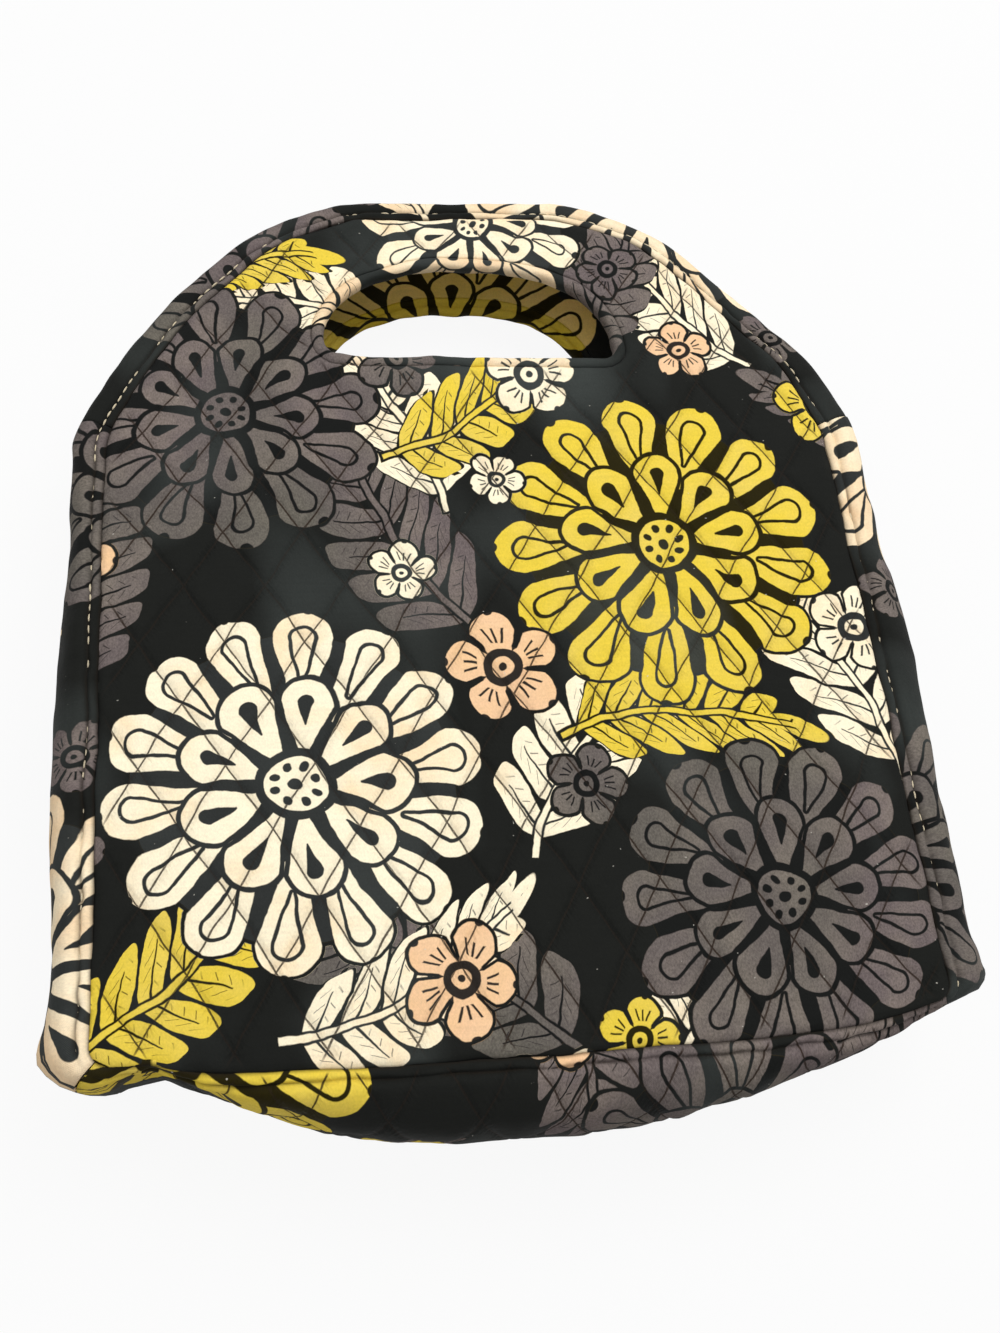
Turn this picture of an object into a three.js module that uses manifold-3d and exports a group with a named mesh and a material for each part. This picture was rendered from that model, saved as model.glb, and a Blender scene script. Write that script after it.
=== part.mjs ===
// Soft insulated lunch bag of quilted cloth, lying on its back as if set down on a table.
// Millimetres. +Z is up, out of the front panel. +Y runs towards the handle. +X is to the right.
// The bag is two shaped panels with a hand hole each, a gusset round the sides and the bottom,
// foam and lining inside, and a zip across the mouth below the hand holes.

import * as THREE from 'three';
import { mergeVertices } from 'three/addons/utils/BufferGeometryUtils.js';
import Module from 'manifold-3d';

const wasm = await Module();
wasm.setup();

// Panels: outline of the seam round the front and the back
const PANEL_WIDTH = 250;
const PANEL_HEIGHT = 295;
const SIDE_TAPER = 3;
const SHOULDER_HEIGHT = 96;
const SHOULDER_POWER = 1.4;
const TOP_FLAT = 70;
const CORNER_RADIUS = 6;

// How thick the bag lies, and how far the front panel arches up between its two ends
const BOTTOM_THICKNESS = 68;
const TOP_THICKNESS = 35;
const CROWN = 3;

// Cloth layers, from the outside in
const QUILT = 3.5;
const FOAM = 3;
const LINING = 1;
const SHELL = 1.8;
const GAP = 0.3;
const FOAM_INSET = 1;
const LINING_INSET = 2;

// Gusset: how far it bulges past the seam
const SIDE_BULGE = 14;
const BOTTOM_BULGE = 21;
const CORNER_BULGE = 0.5;
const SHOULDER_BULGE = 10.5;
const TOP_BULGE = 8;
const BULGE_SQUARENESS = 5;
const BULGE_FADE = 3;
const MIDDLE_SHARE = 0.5;
const SEAM_DROP = 0.5;

// Edge band round the shoulders and the top of each handle flap
const BAND_HEIGHT = 12;
const BAND_WALL = 1.2;
const BAND_SQUARENESS = 4;

// Hand hole and the binding rolled round it
const HOLE_MARGIN = 22;
const HOLE_HEIGHT = 40;
const HOLE_BOTTOM = PANEL_HEIGHT - HOLE_MARGIN - HOLE_HEIGHT;
const HOLE_WIDTH = 102;
const HOLE_CORNER = 4;
const HOLE_POWER = 0.88;
const BINDING_WIDTH = 3.5;
const BINDING_LIP = 1;

// Zip across the mouth
const ZIP_DROP = 26;
const ZIP_Y = HOLE_BOTTOM - ZIP_DROP;
const ZIP_LEFT_MARGIN = 27;
const ZIP_RIGHT_MARGIN = 41;
const ZIP_LEFT = ZIP_LEFT_MARGIN - PANEL_WIDTH / 2;
const ZIP_RIGHT = PANEL_WIDTH / 2 - ZIP_RIGHT_MARGIN;
const GUSSET_DROP = 1;
const STRIP = 1;
const STRIP_HANG = 0.6;
const STRIP_OVERLAP = 3;
const TAPE = 0.7;
const TAPE_WIDTH = 9;
const TOOTH_DEPTH = 2;
const TOOTH_THICKNESS = 2.2;
const TOOTH_WIDTH = 1.7;
const TOOTH_PITCH = 3.2;
const ROW_GAP = 1.6;
const ROW_SPINE = 0.8;
const STOP_LENGTH = 2.2;
const STOP_GAP = 0.8;
const STOP_LIP = 0.8;

// Slider, its bridge and the pull
const SLIDER_LENGTH = 9;
const SLIDER_WIDTH = 9.8;
const SLIDER_TAPER = 0.6;
const SLIDER_PLATE = 1;
const SLIDER_PAST_FLAPS = 6;
const SLIDER_PARK = ZIP_RIGHT + SLIDER_PAST_FLAPS;
const NECK = 1;
const NECK_LENGTH = 2.4;
const BRIDGE_LENGTH = 7;
const BRIDGE_WALL = 1;
const BRIDGE_THICKNESS = 1.6;
const PULL_LENGTH = 22;
const PULL_WIDTH = 7;
const PULL_THICKNESS = 1.2;
const PULL_ARM = 1.2;
const PULL_PLAY = 0.35;

// Sewn-in end of the zip and the cloth tabs at both ends
const TAIL_LENGTH = 17;
const TAB_WALL = 1;
const TAB_POCKET = 2.4;

// How far a cutting shape runs past what it cuts
const CUT_PAST = 1;

// Smoothness
const CORNER_STEPS = 4;
const BOTTOM_STEPS = 7;
const SIDE_STEPS = 7;
const SHOULDER_STEPS = 12;
const TOP_STEPS = 2;
const BULGE_STEPS = 8;
const BAND_STEPS = 5;
const HOLE_STEPS = 12;
const HOLE_CORNER_STEPS = 3;
const PULL_STEPS = 8;

const CLOTH = { color: 0x2b2c2e, roughness: 0.95, metalness: 0 };
const BAND_CLOTH = { color: 0x242527, roughness: 0.95, metalness: 0 };
const LINING_CLOTH = { color: 0x9a9c9e, roughness: 0.6, metalness: 0 };
const FOAM_WHITE = { color: 0xe8e6df, roughness: 1, metalness: 0 };
const TAPE_BLACK = { color: 0x1b1b1c, roughness: 0.9, metalness: 0 };
const TEETH_BLACK = { color: 0x161617, roughness: 0.45, metalness: 0 };
const METAL = { color: 0xb9bbbd, roughness: 0.3, metalness: 1 };

const bag = new THREE.Group();

function add(name, geometry, finish) {
  const mesh = new THREE.Mesh(geometry, new THREE.MeshStandardMaterial(finish));
  mesh.name = name;
  bag.add(mesh);
  return mesh;
}

// Closed meshes

function signedVolume(points, faces) {
  let sum = 0;
  const [a, b, c] = [new THREE.Vector3(), new THREE.Vector3(), new THREE.Vector3()];
  for (const [i, j, k] of faces) {
    a.fromArray(points[i]);
    b.fromArray(points[j]);
    c.fromArray(points[k]);
    sum += a.dot(b.cross(c));
  }
  return sum / 6;
}

function closedGeometry(points, faces) {
  const outward = signedVolume(points, faces) > 0;
  const index = faces.flatMap(([i, j, k]) => (outward ? [i, j, k] : [i, k, j]));
  const geometry = new THREE.BufferGeometry();
  geometry.setAttribute('position', new THREE.Float32BufferAttribute(points.flat(), 3));
  geometry.setIndex(index);
  return geometry;
}

// A sheet with two faces, given as two grids of points of one size, walled all round.
function thickSheet(outer, inner) {
  const rows = outer.length;
  const cols = outer[0].length;
  const points = [...outer.flat(), ...inner.flat()];
  const top = (r, c) => r * cols + c;
  const under = (r, c) => rows * cols + r * cols + c;
  const faces = [];
  const quad = (a, b, c, d) => faces.push([a, b, c], [a, c, d]);
  for (let r = 0; r < rows - 1; r++) {
    for (let c = 0; c < cols - 1; c++) {
      quad(top(r, c), top(r, c + 1), top(r + 1, c + 1), top(r + 1, c));
      quad(under(r, c), under(r + 1, c), under(r + 1, c + 1), under(r, c + 1));
    }
    quad(top(r, 0), top(r + 1, 0), under(r + 1, 0), under(r, 0));
    quad(top(r + 1, cols - 1), top(r, cols - 1), under(r, cols - 1), under(r + 1, cols - 1));
  }
  for (let c = 0; c < cols - 1; c++) {
    quad(top(0, c + 1), top(0, c), under(0, c), under(0, c + 1));
    quad(top(rows - 1, c), top(rows - 1, c + 1), under(rows - 1, c + 1), under(rows - 1, c));
  }
  return closedGeometry(points, faces);
}

// A ring swept round a closed path, given as one section of points for each station.
function closedRing(sections) {
  const n = sections.length;
  const m = sections[0].length;
  const faces = [];
  for (let i = 0; i < n; i++) {
    for (let j = 0; j < m; j++) {
      const [a, b] = [i * m + j, i * m + ((j + 1) % m)];
      const [c, d] = [((i + 1) % n) * m + ((j + 1) % m), ((i + 1) % n) * m + j];
      faces.push([a, b, c], [a, c, d]);
    }
  }
  return closedGeometry(sections.flat(), faces);
}

function toSolid(geometry) {
  const bare = geometry.clone();
  bare.deleteAttribute('normal');
  bare.deleteAttribute('uv');
  const merged = mergeVertices(bare, 1e-4);
  const vertProperties = new Float32Array(merged.attributes.position.array);
  const triVerts = new Uint32Array(merged.index.array);
  return new wasm.Manifold(new wasm.Mesh({ numProp: 3, vertProperties, triVerts }));
}

function fromSolid(solid) {
  const mesh = solid.getMesh();
  const geometry = new THREE.BufferGeometry();
  geometry.setAttribute('position', new THREE.Float32BufferAttribute(mesh.vertProperties, 3));
  geometry.setIndex(Array.from(mesh.triVerts));
  return geometry;
}

function box(x0, x1, y0, y1, z0, z1) {
  const geometry = new THREE.BoxGeometry(x1 - x0, y1 - y0, z1 - z0);
  return geometry.translate((x0 + x1) / 2, (y0 + y1) / 2, (z0 + z1) / 2);
}

function polygon(corners) {
  return new THREE.Shape(corners.map(([x, y]) => new THREE.Vector2(x, y)));
}

const lerp = THREE.MathUtils.lerp;

// Outline of a panel: its right half, from the middle of the bottom to the middle of the top

function halfOutline() {
  const half = PANEL_WIDTH / 2;
  const halfShoulder = half - SIDE_TAPER;
  const halfTop = TOP_FLAT / 2;
  const shoulderStart = PANEL_HEIGHT - SHOULDER_HEIGHT;
  const points = [];
  for (let i = 0; i < BOTTOM_STEPS; i++) {
    const t = i / BOTTOM_STEPS;
    const bulge = lerp(CORNER_BULGE, BOTTOM_BULGE, Math.cos((Math.PI / 2) * t));
    points.push({ x: (half - CORNER_RADIUS) * t, y: 0, bulge });
  }
  for (let i = 0; i <= CORNER_STEPS; i++) {
    const t = i / CORNER_STEPS;
    const angle = (Math.PI / 2) * (t - 1);
    const x = half - CORNER_RADIUS + CORNER_RADIUS * Math.cos(angle);
    const y = CORNER_RADIUS + CORNER_RADIUS * Math.sin(angle);
    points.push({ x, y, bulge: lerp(CORNER_BULGE, SIDE_BULGE, t) });
  }
  for (let i = 1; i <= SIDE_STEPS; i++) {
    const t = i / SIDE_STEPS;
    const bulge = lerp(SIDE_BULGE, SHOULDER_BULGE, t ** BULGE_FADE);
    points.push({ x: lerp(half, halfShoulder, t), y: lerp(CORNER_RADIUS, shoulderStart, t), bulge });
  }
  for (let i = 1; i <= SHOULDER_STEPS; i++) {
    const angle = ((Math.PI / 2) * i) / SHOULDER_STEPS;
    const along = i === SHOULDER_STEPS ? 0 : Math.cos(angle) ** SHOULDER_POWER;
    const x = halfTop + (halfShoulder - halfTop) * along;
    const y = lerp(shoulderStart, PANEL_HEIGHT, Math.sin(angle) ** SHOULDER_POWER);
    points.push({ x, y, bulge: lerp(SHOULDER_BULGE, TOP_BULGE, i / SHOULDER_STEPS) });
  }
  for (let i = 1; i <= TOP_STEPS; i++) {
    points.push({ x: halfTop * (1 - i / TOP_STEPS), y: PANEL_HEIGHT, bulge: TOP_BULGE });
  }
  return points;
}

// Gives each point of a line the outward direction that offsets both its neighbours alike.
function withNormals(points, before, after) {
  return points.map((point, i) => {
    const prev = i > 0 ? points[i - 1] : before;
    const next = i < points.length - 1 ? points[i + 1] : after;
    const a = new THREE.Vector2(point.y - prev.y, prev.x - point.x).normalize();
    const b = new THREE.Vector2(next.y - point.y, point.x - next.x).normalize();
    const m = a.add(b);
    m.divideScalar(m.lengthSq() / 2);
    return { ...point, nx: m.x, ny: m.y };
  });
}

const rim = withNormals(halfOutline(), { x: -1, y: 0 }, { x: -1, y: PANEL_HEIGHT });
const CORNER_FIRST = BOTTOM_STEPS;
const TOP_CORNER = rim.length - 1 - TOP_STEPS;

function between(p, q, t) {
  return Object.fromEntries(Object.keys(p).map((key) => [key, lerp(p[key], q[key], t)]));
}

// Half width of a panel's outline, drawn in by inset, cut to the rows from yFrom to yTo
function panelRows(inset, yFrom, yTo) {
  const rows = rim.slice(CORNER_FIRST, TOP_CORNER + 1).map((p) => ({ x: p.x - p.nx * inset, y: p.y - p.ny * inset }));
  const kept = [];
  rows.forEach((row, i) => {
    const prev = rows[i - 1];
    for (const cut of [yFrom, yTo]) {
      if (prev && prev.y < cut && cut < row.y) {
        kept.push(between(prev, row, (cut - prev.y) / (row.y - prev.y)));
      }
    }
    if (row.y >= yFrom && row.y <= yTo) kept.push(row);
  });
  return kept.sort((a, b) => a.y - b.y);
}

// Height of the front panel's outer face over the table
function frontFace(y) {
  const t = THREE.MathUtils.clamp(y / PANEL_HEIGHT, 0, 1);
  return lerp(BOTTOM_THICKNESS, TOP_THICKNESS, t) + CROWN * 4 * t * (1 - t);
}

// Each side of the bag turns a depth under its outer face into a height.
const FRONT = (y, depth) => frontFace(y) - depth;
const BACK = (y, depth) => depth;

// Hand hole

function holeOutline() {
  const half = HOLE_WIDTH / 2;
  const points = [];
  for (let i = 0; i <= HOLE_CORNER_STEPS; i++) {
    const angle = (Math.PI / 2) * (i / HOLE_CORNER_STEPS - 1);
    const x = half - HOLE_CORNER + HOLE_CORNER * Math.cos(angle);
    points.push({ x, y: HOLE_BOTTOM + HOLE_CORNER + HOLE_CORNER * Math.sin(angle) });
  }
  for (let i = 1; i < HOLE_STEPS; i++) {
    const angle = ((Math.PI / 2) * i) / HOLE_STEPS;
    const y = HOLE_BOTTOM + HOLE_CORNER + (HOLE_HEIGHT - HOLE_CORNER) * Math.sin(angle) ** HOLE_POWER;
    points.push({ x: half * Math.cos(angle) ** HOLE_POWER, y });
  }
  points.push({ x: 0, y: HOLE_BOTTOM + HOLE_HEIGHT });
  const left = points.slice(0, -1).reverse().map((p) => ({ x: -p.x, y: p.y }));
  const all = [...points, ...left];
  return withNormals(all, all[all.length - 1], all[0]);
}

const hole = holeOutline();
const BINDING_SEAT = BINDING_WIDTH + GAP;

// Rounded section of the binding, as shares of its width and of its depth
const BINDING_SECTION = [
  [0, 0.25],
  [0, 0.75],
  [0.3, 1],
  [0.7, 1],
  [1, 0.8],
  [1, 0.2],
  [0.7, 0],
  [0.3, 0],
];

function cutHole(geometry) {
  const outline = hole.map((p) => new THREE.Vector2(p.x + p.nx * BINDING_SEAT, p.y + p.ny * BINDING_SEAT));
  const depth = 2 * (BOTTOM_THICKNESS + CROWN);
  const cutter = new THREE.ExtrudeGeometry(new THREE.Shape(outline), { depth, bevelEnabled: false });
  cutter.translate(0, 0, -depth / 4);
  return fromSolid(toSolid(geometry).subtract(toSolid(cutter)));
}

function holeBinding(side, lipOut) {
  return closedRing(
    hole.map((p) =>
      BINDING_SECTION.map(([across, down]) => {
        const x = p.x + p.nx * BINDING_WIDTH * across;
        const y = p.y + p.ny * BINDING_WIDTH * across;
        return [x, y, side(y, lerp(-lipOut, STACK + BINDING_LIP, down))];
      }),
    ),
  );
}

// Panels and the flat layers behind them

const FOAM_DEPTH = QUILT + GAP;
const LINING_DEPTH = FOAM_DEPTH + FOAM + GAP;
const STACK = LINING_DEPTH + LINING;

function panelLayer(side, depth, thickness, inset, yFrom, yTo) {
  const rows = panelRows(inset, yFrom, yTo);
  const face = (down) => rows.map((row) => [-1, 1].map((sign) => [sign * row.x, row.y, side(row.y, down)]));
  return thickSheet(face(depth), face(depth + thickness));
}

// Gusset: cloth, foam and lining follow one bulging section all round

// Bulge of the gusset's section, 1 at the middle and 0 at the two seams, in straight steps
const bulgeKnots = Array.from({ length: BULGE_STEPS + 1 }, (_, i) => {
  const zeta = -Math.cos((Math.PI * i) / BULGE_STEPS);
  return { zeta, swell: Math.sqrt(Math.max(0, 1 - Math.abs(zeta) ** BULGE_SQUARENESS)) };
});

// Inner layers stop short of the seams and keep only the knots about the middle, inside the outer curve.
function sectionKnots(limit) {
  if (limit === 1) return bulgeKnots;
  const inside = bulgeKnots.filter((knot) => Math.abs(knot.zeta) < MIDDLE_SHARE);
  const after = bulgeKnots.findIndex((knot) => knot.zeta >= limit);
  const [a, b] = [bulgeKnots[after - 1], bulgeKnots[after]];
  const end = between(a, b, (limit - a.zeta) / (b.zeta - a.zeta));
  return [{ ...end, zeta: -limit }, ...inside, end];
}

function gussetFace(stations, offset, inset) {
  return stations.map((p) => {
    const low = SEAM_DROP;
    const high = frontFace(p.y) - SEAM_DROP;
    const middle = (low + high) / 2;
    const reach = (high - low) / 2;
    return sectionKnots((reach - inset) / reach).map(({ zeta, swell }) => {
      const out = offset + p.bulge * swell;
      return [p.x + p.nx * out, p.y + p.ny * out, middle + reach * zeta];
    });
  });
}

// Stations of the half outline between two places, each an index that may fall between two points
function stationsBetween(from, to) {
  const at = (place) => {
    const i = Math.min(Math.floor(place), rim.length - 2);
    return between(rim[i], rim[i + 1], place - i);
  };
  const list = [at(from)];
  for (let i = Math.floor(from) + 1; i < to; i++) list.push(rim[i]);
  list.push(at(to));
  return list;
}

function mirrored(stations) {
  return stations.map((p) => ({ ...p, x: -p.x, nx: -p.nx }));
}

// Place on the outline where its height reaches y
function placeAtHeight(y) {
  const i = rim.findIndex((p, k) => k >= CORNER_FIRST && p.y > y) - 1;
  return i + (y - rim[i].y) / (rim[i + 1].y - rim[i].y);
}

// The bottom gusset meets a side gusset half way round the corner, with half the seam's gap on each side.
const CORNER_CUT = CORNER_FIRST + CORNER_STEPS / 2;
const CORNER_CHORD = 2 * CORNER_RADIUS * Math.sin(Math.PI / 4 / CORNER_STEPS);
const CORNER_GAP = GAP / 2 / CORNER_CHORD;
const GUSSET_TOP = ZIP_Y - GUSSET_DROP;

const sideStations = stationsBetween(CORNER_CUT + CORNER_GAP, placeAtHeight(GUSSET_TOP));
const bottomHalf = stationsBetween(0, CORNER_CUT - CORNER_GAP);
const bottomStations = [...mirrored(bottomHalf).reverse(), ...bottomHalf.slice(1)];

function gussetLayer(stations, offset, thickness, inset) {
  const outer = gussetFace(stations, offset, inset);
  const inner = gussetFace(stations, offset - thickness, inset);
  return thickSheet(outer, inner);
}

const GUSSET_LAYERS = [
  { name: 'gusset', offset: GAP + SHELL, thickness: SHELL, inset: 0, finish: CLOTH },
  { name: 'gusset_foam', offset: 0, thickness: FOAM, inset: STACK + GAP, finish: FOAM_WHITE },
  { name: 'lining', offset: -FOAM - GAP, thickness: LINING, inset: STACK + GAP, finish: LINING_CLOTH },
];

function addGussets() {
  const places = { left: mirrored(sideStations), right: sideStations, bottom: bottomStations };
  for (const [place, stations] of Object.entries(places)) {
    for (const { name, offset, thickness, inset, finish } of GUSSET_LAYERS) {
      add(`${place}_${name}`, gussetLayer(stations, offset, thickness, inset), finish);
    }
  }
}

// Edge band: a soft rounded strip outside the edges of a handle flap
function edgeBand(side) {
  const half = stationsBetween(placeAtHeight(GUSSET_TOP + GAP), rim.length - 1);
  const stations = [...half, ...mirrored(half).reverse().slice(1)];
  const face = (bulging) =>
    stations.map((p) =>
      Array.from({ length: BAND_STEPS + 1 }, (_, i) => {
        const zeta = -Math.cos((Math.PI * i) / BAND_STEPS);
        const swell = Math.sqrt(Math.max(0, 1 - zeta ** BAND_SQUARENESS));
        const out = bulging ? GAP + BAND_WALL + p.bulge * swell : GAP;
        const depth = SEAM_DROP + (BAND_HEIGHT * (1 + zeta)) / 2;
        return [p.x + p.nx * out, p.y + p.ny * out, side(p.y, depth)];
      }),
    );
  return thickSheet(face(true), face(false));
}

// The two panels with their flat layers, facings, bindings and edge bands
function addPanels() {
  const sides = { front: FRONT, back: BACK };
  for (const [name, side] of Object.entries(sides)) {
    const lip = name === 'front' ? BINDING_LIP : -GAP;
    const seam = GAP / 2;
    add(`${name}_panel`, cutHole(panelLayer(side, 0, QUILT, 0, 0, PANEL_HEIGHT)), CLOTH);
    add(`${name}_foam`, cutHole(panelLayer(side, FOAM_DEPTH, FOAM, FOAM_INSET, 0, PANEL_HEIGHT)), FOAM_WHITE);
    const facing = panelLayer(side, LINING_DEPTH, LINING, LINING_INSET, ZIP_Y + seam, PANEL_HEIGHT);
    add(`${name}_facing`, cutHole(facing), CLOTH);
    add(`${name}_lining`, panelLayer(side, LINING_DEPTH, LINING, LINING_INSET, 0, ZIP_Y - seam), LINING_CLOTH);
    add(`${name}_hole_binding`, holeBinding(side, lip), BAND_CLOTH);
    add(`${name}_edge_band`, edgeBand(side), BAND_CLOTH);
  }
}

// Zip: it stands across the mouth, between the inner faces of the two panels

const MOUTH_LOW = STACK;
const MOUTH_HIGH = frontFace(ZIP_Y) - STACK;
const ZIP_Z = (MOUTH_LOW + MOUTH_HIGH) / 2;
const HALF_MOUTH = (MOUTH_HIGH - MOUTH_LOW) / 2;
const ROW_START = ROW_GAP / 2;
const TOOTH_ROOT = ROW_START + TOOTH_DEPTH;
const ROW_END = TOOTH_ROOT + ROW_SPINE;
const TAPE_START = ROW_END + GAP;
const TAPE_END = TAPE_START + TAPE_WIDTH;
const STRIP_END = HALF_MOUTH - STRIP_HANG;
const ROW_LEFT = ZIP_LEFT + STOP_LENGTH + 2 * GAP;
const CHANNEL_HALF = TOOTH_THICKNESS / 2 + GAP;
const CHANNEL_REACH = ROW_END + GAP;
const SLOT_HALF = TAPE / 2 + GAP;
const PARK_END = SLIDER_PARK + SLIDER_LENGTH / 2;
const STOP_X = PARK_END + STOP_GAP;
const TAIL_X = ZIP_RIGHT + GAP;
const TAIL_SLOT_END = STOP_X + STOP_LENGTH + GAP;
const TAIL_END = TAIL_X + TAIL_LENGTH;

// A zip piece is drawn about the middle of the zip, for the front half. The back half is turned over.
function placed(geometry, half = 'front') {
  if (half === 'back') geometry.rotateX(Math.PI);
  return geometry.translate(0, ZIP_Y, ZIP_Z);
}

// A flat outline in X and Z, given a thickness along Y and centred on Y
function flatPiece(shape, thickness) {
  const settings = { depth: thickness, bevelEnabled: false, curveSegments: PULL_STEPS };
  const geometry = new THREE.ExtrudeGeometry(shape, settings);
  return geometry.rotateX(Math.PI / 2).translate(0, thickness / 2, 0);
}

// One row of teeth along X: a spine on the tape's edge with square teeth towards the middle
function toothRow(x0, x1) {
  const corners = [
    [x0, ROW_END],
    [x0, TOOTH_ROOT],
  ];
  for (let x = x0 + GAP; x + TOOTH_WIDTH + GAP < x1; x += TOOTH_PITCH) {
    corners.push([x, TOOTH_ROOT], [x, ROW_START], [x + TOOTH_WIDTH, ROW_START], [x + TOOTH_WIDTH, TOOTH_ROOT]);
  }
  corners.push([x1, TOOTH_ROOT], [x1, ROW_END]);
  return flatPiece(polygon(corners), TOOTH_THICKNESS);
}

// A clip crimped over the beaded edge of one tape, above the last tooth
function topStop() {
  const x0 = ZIP_LEFT + GAP;
  const half = TOOTH_THICKNESS / 2;
  const block = toSolid(box(x0, x0 + STOP_LENGTH, -half, half, TOOTH_ROOT, TAPE_START + TOOTH_DEPTH));
  const slot = toSolid(box(x0 - CUT_PAST, x0 + STOP_LENGTH + CUT_PAST, -SLOT_HALF, SLOT_HALF, TAPE_START - GAP, TAPE_END));
  return fromSolid(block.subtract(slot));
}

function addZipFlaps() {
  for (const half of ['front', 'back']) {
    const sign = half === 'front' ? 1 : -1;
    const [near, far] = [TAPE_END - STRIP_OVERLAP, STRIP_END].map((z) => ZIP_Z + sign * z);
    const y = ZIP_Y + TAPE / 2 + GAP;
    const strip = box(ZIP_LEFT, ZIP_RIGHT, y, y + STRIP, Math.min(near, far), Math.max(near, far));
    add(`${half}_zip_strip`, strip, CLOTH);
    const tape = box(ZIP_LEFT, ZIP_RIGHT, -TAPE / 2, TAPE / 2, TAPE_START, TAPE_END);
    add(`${half}_zip_tape`, placed(tape, half), TAPE_BLACK);
    add(`${half}_zip_teeth`, placed(toothRow(ROW_LEFT, ZIP_RIGHT), half), TEETH_BLACK);
    add(`${half}_top_stop`, placed(topStop(), half), METAL);
  }
}

// Two plates round the tooth rows, with a lip along each side and a neck between the rows
function channelBody(outline, x0, x1, neck0, neck1) {
  const plates = toSolid(flatPiece(outline, 2 * (CHANNEL_HALF + SLIDER_PLATE)));
  const [cut0, cut1] = [x0 - CUT_PAST, x1 + CUT_PAST];
  const channel = toSolid(box(cut0, cut1, -CHANNEL_HALF, CHANNEL_HALF, -CHANNEL_REACH, CHANNEL_REACH));
  const slot = toSolid(box(cut0, cut1, -SLOT_HALF, SLOT_HALF, -SLIDER_WIDTH, SLIDER_WIDTH));
  const reach = CHANNEL_HALF + SLIDER_PLATE / 2;
  const neck = toSolid(box(neck0, neck1, -reach, reach, -NECK / 2, NECK / 2));
  return plates.subtract(channel).subtract(slot).add(neck);
}

// The bridge that carries the pull, standing on the slider's outer plate
function bridge() {
  const foot = CHANNEL_HALF + SLIDER_PLATE / 2;
  const under = CHANNEL_HALF + SLIDER_PLATE + PULL_THICKNESS + 2 * PULL_PLAY;
  const top = under + BRIDGE_WALL;
  const outer = BRIDGE_LENGTH / 2;
  const inner = outer - BRIDGE_WALL;
  const arch = polygon([
    [-outer, foot],
    [-inner, foot],
    [-inner, under],
    [inner, under],
    [inner, foot],
    [outer, foot],
    [outer, under],
    [inner, top],
    [-inner, top],
    [-outer, under],
  ]);
  const geometry = new THREE.ExtrudeGeometry(arch, { depth: BRIDGE_THICKNESS, bevelEnabled: false });
  return toSolid(geometry.translate(0, 0, -BRIDGE_THICKNESS / 2));
}

function slider() {
  const end = SLIDER_LENGTH / 2;
  const wide = SLIDER_WIDTH / 2;
  const narrow = wide - SLIDER_TAPER;
  const outline = polygon([
    [-end, -wide + SLIDER_TAPER],
    [-end + SLIDER_TAPER, -wide],
    [0, -wide],
    [end - SLIDER_TAPER, -narrow],
    [end, -narrow + SLIDER_TAPER],
    [end, narrow - SLIDER_TAPER],
    [end - SLIDER_TAPER, narrow],
    [0, wide],
    [-end + SLIDER_TAPER, wide],
    [-end, wide - SLIDER_TAPER],
  ]);
  const body = channelBody(outline, -end, end, -end + SLIDER_TAPER, -end + SLIDER_TAPER + NECK_LENGTH);
  return fromSolid(body.add(bridge()));
}

function pull() {
  const bar = PULL_THICKNESS / 2;
  const eye = BRIDGE_THICKNESS / 2 + GAP;
  const eyeEnd = BRIDGE_LENGTH / 2 + 2 * PULL_PLAY;
  const arm = eye + PULL_ARM;
  const half = PULL_WIDTH / 2;
  const shape = new THREE.Shape();
  shape.moveTo(-bar, -arm);
  shape.lineTo(eyeEnd - PULL_ARM, -arm);
  shape.lineTo(eyeEnd + PULL_ARM, -half);
  shape.lineTo(PULL_LENGTH - half, -half);
  shape.absarc(PULL_LENGTH - half, 0, half, -Math.PI / 2, Math.PI / 2, false);
  shape.lineTo(eyeEnd + PULL_ARM, half);
  shape.lineTo(eyeEnd - PULL_ARM, arm);
  shape.lineTo(-bar, arm);
  shape.holes.push(polygon([[bar, -eye], [eyeEnd, -eye], [eyeEnd, eye], [bar, eye]]));
  const ring = new THREE.Path();
  ring.absarc(PULL_LENGTH - half, 0, half / 2, 0, 2 * Math.PI, true);
  shape.holes.push(ring);
  return flatPiece(shape, PULL_THICKNESS);
}

function addSlider() {
  add('zip_slider', placed(slider().translate(SLIDER_PARK, 0, 0)), METAL);
  const pin = CHANNEL_HALF + SLIDER_PLATE + PULL_PLAY + PULL_THICKNESS / 2;
  add('zip_pull', placed(pull().translate(SLIDER_PARK, pin, 0)), METAL);
}

// The zip's sewn-in end: tape and both tooth rows in one, slotted for the slider's neck
function tail() {
  const tape = toSolid(box(TAIL_X, TAIL_END, -TAPE / 2, TAPE / 2, -STRIP_END, STRIP_END));
  const slot = toSolid(box(TAIL_X - CUT_PAST, TAIL_SLOT_END, -CUT_PAST, CUT_PAST, -ROW_START, ROW_START));
  const row = toothRow(TAIL_X, TAIL_SLOT_END);
  const rows = toSolid(row).add(toSolid(row.clone().rotateX(Math.PI)));
  return fromSolid(tape.subtract(slot).add(rows));
}

function endStop() {
  const end = STOP_X + STOP_LENGTH;
  const half = CHANNEL_REACH + STOP_LIP;
  const outline = polygon([[STOP_X, -half], [end, -half], [end, half], [STOP_X, half]]);
  return fromSolid(channelBody(outline, STOP_X, end, STOP_X, end));
}

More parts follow.
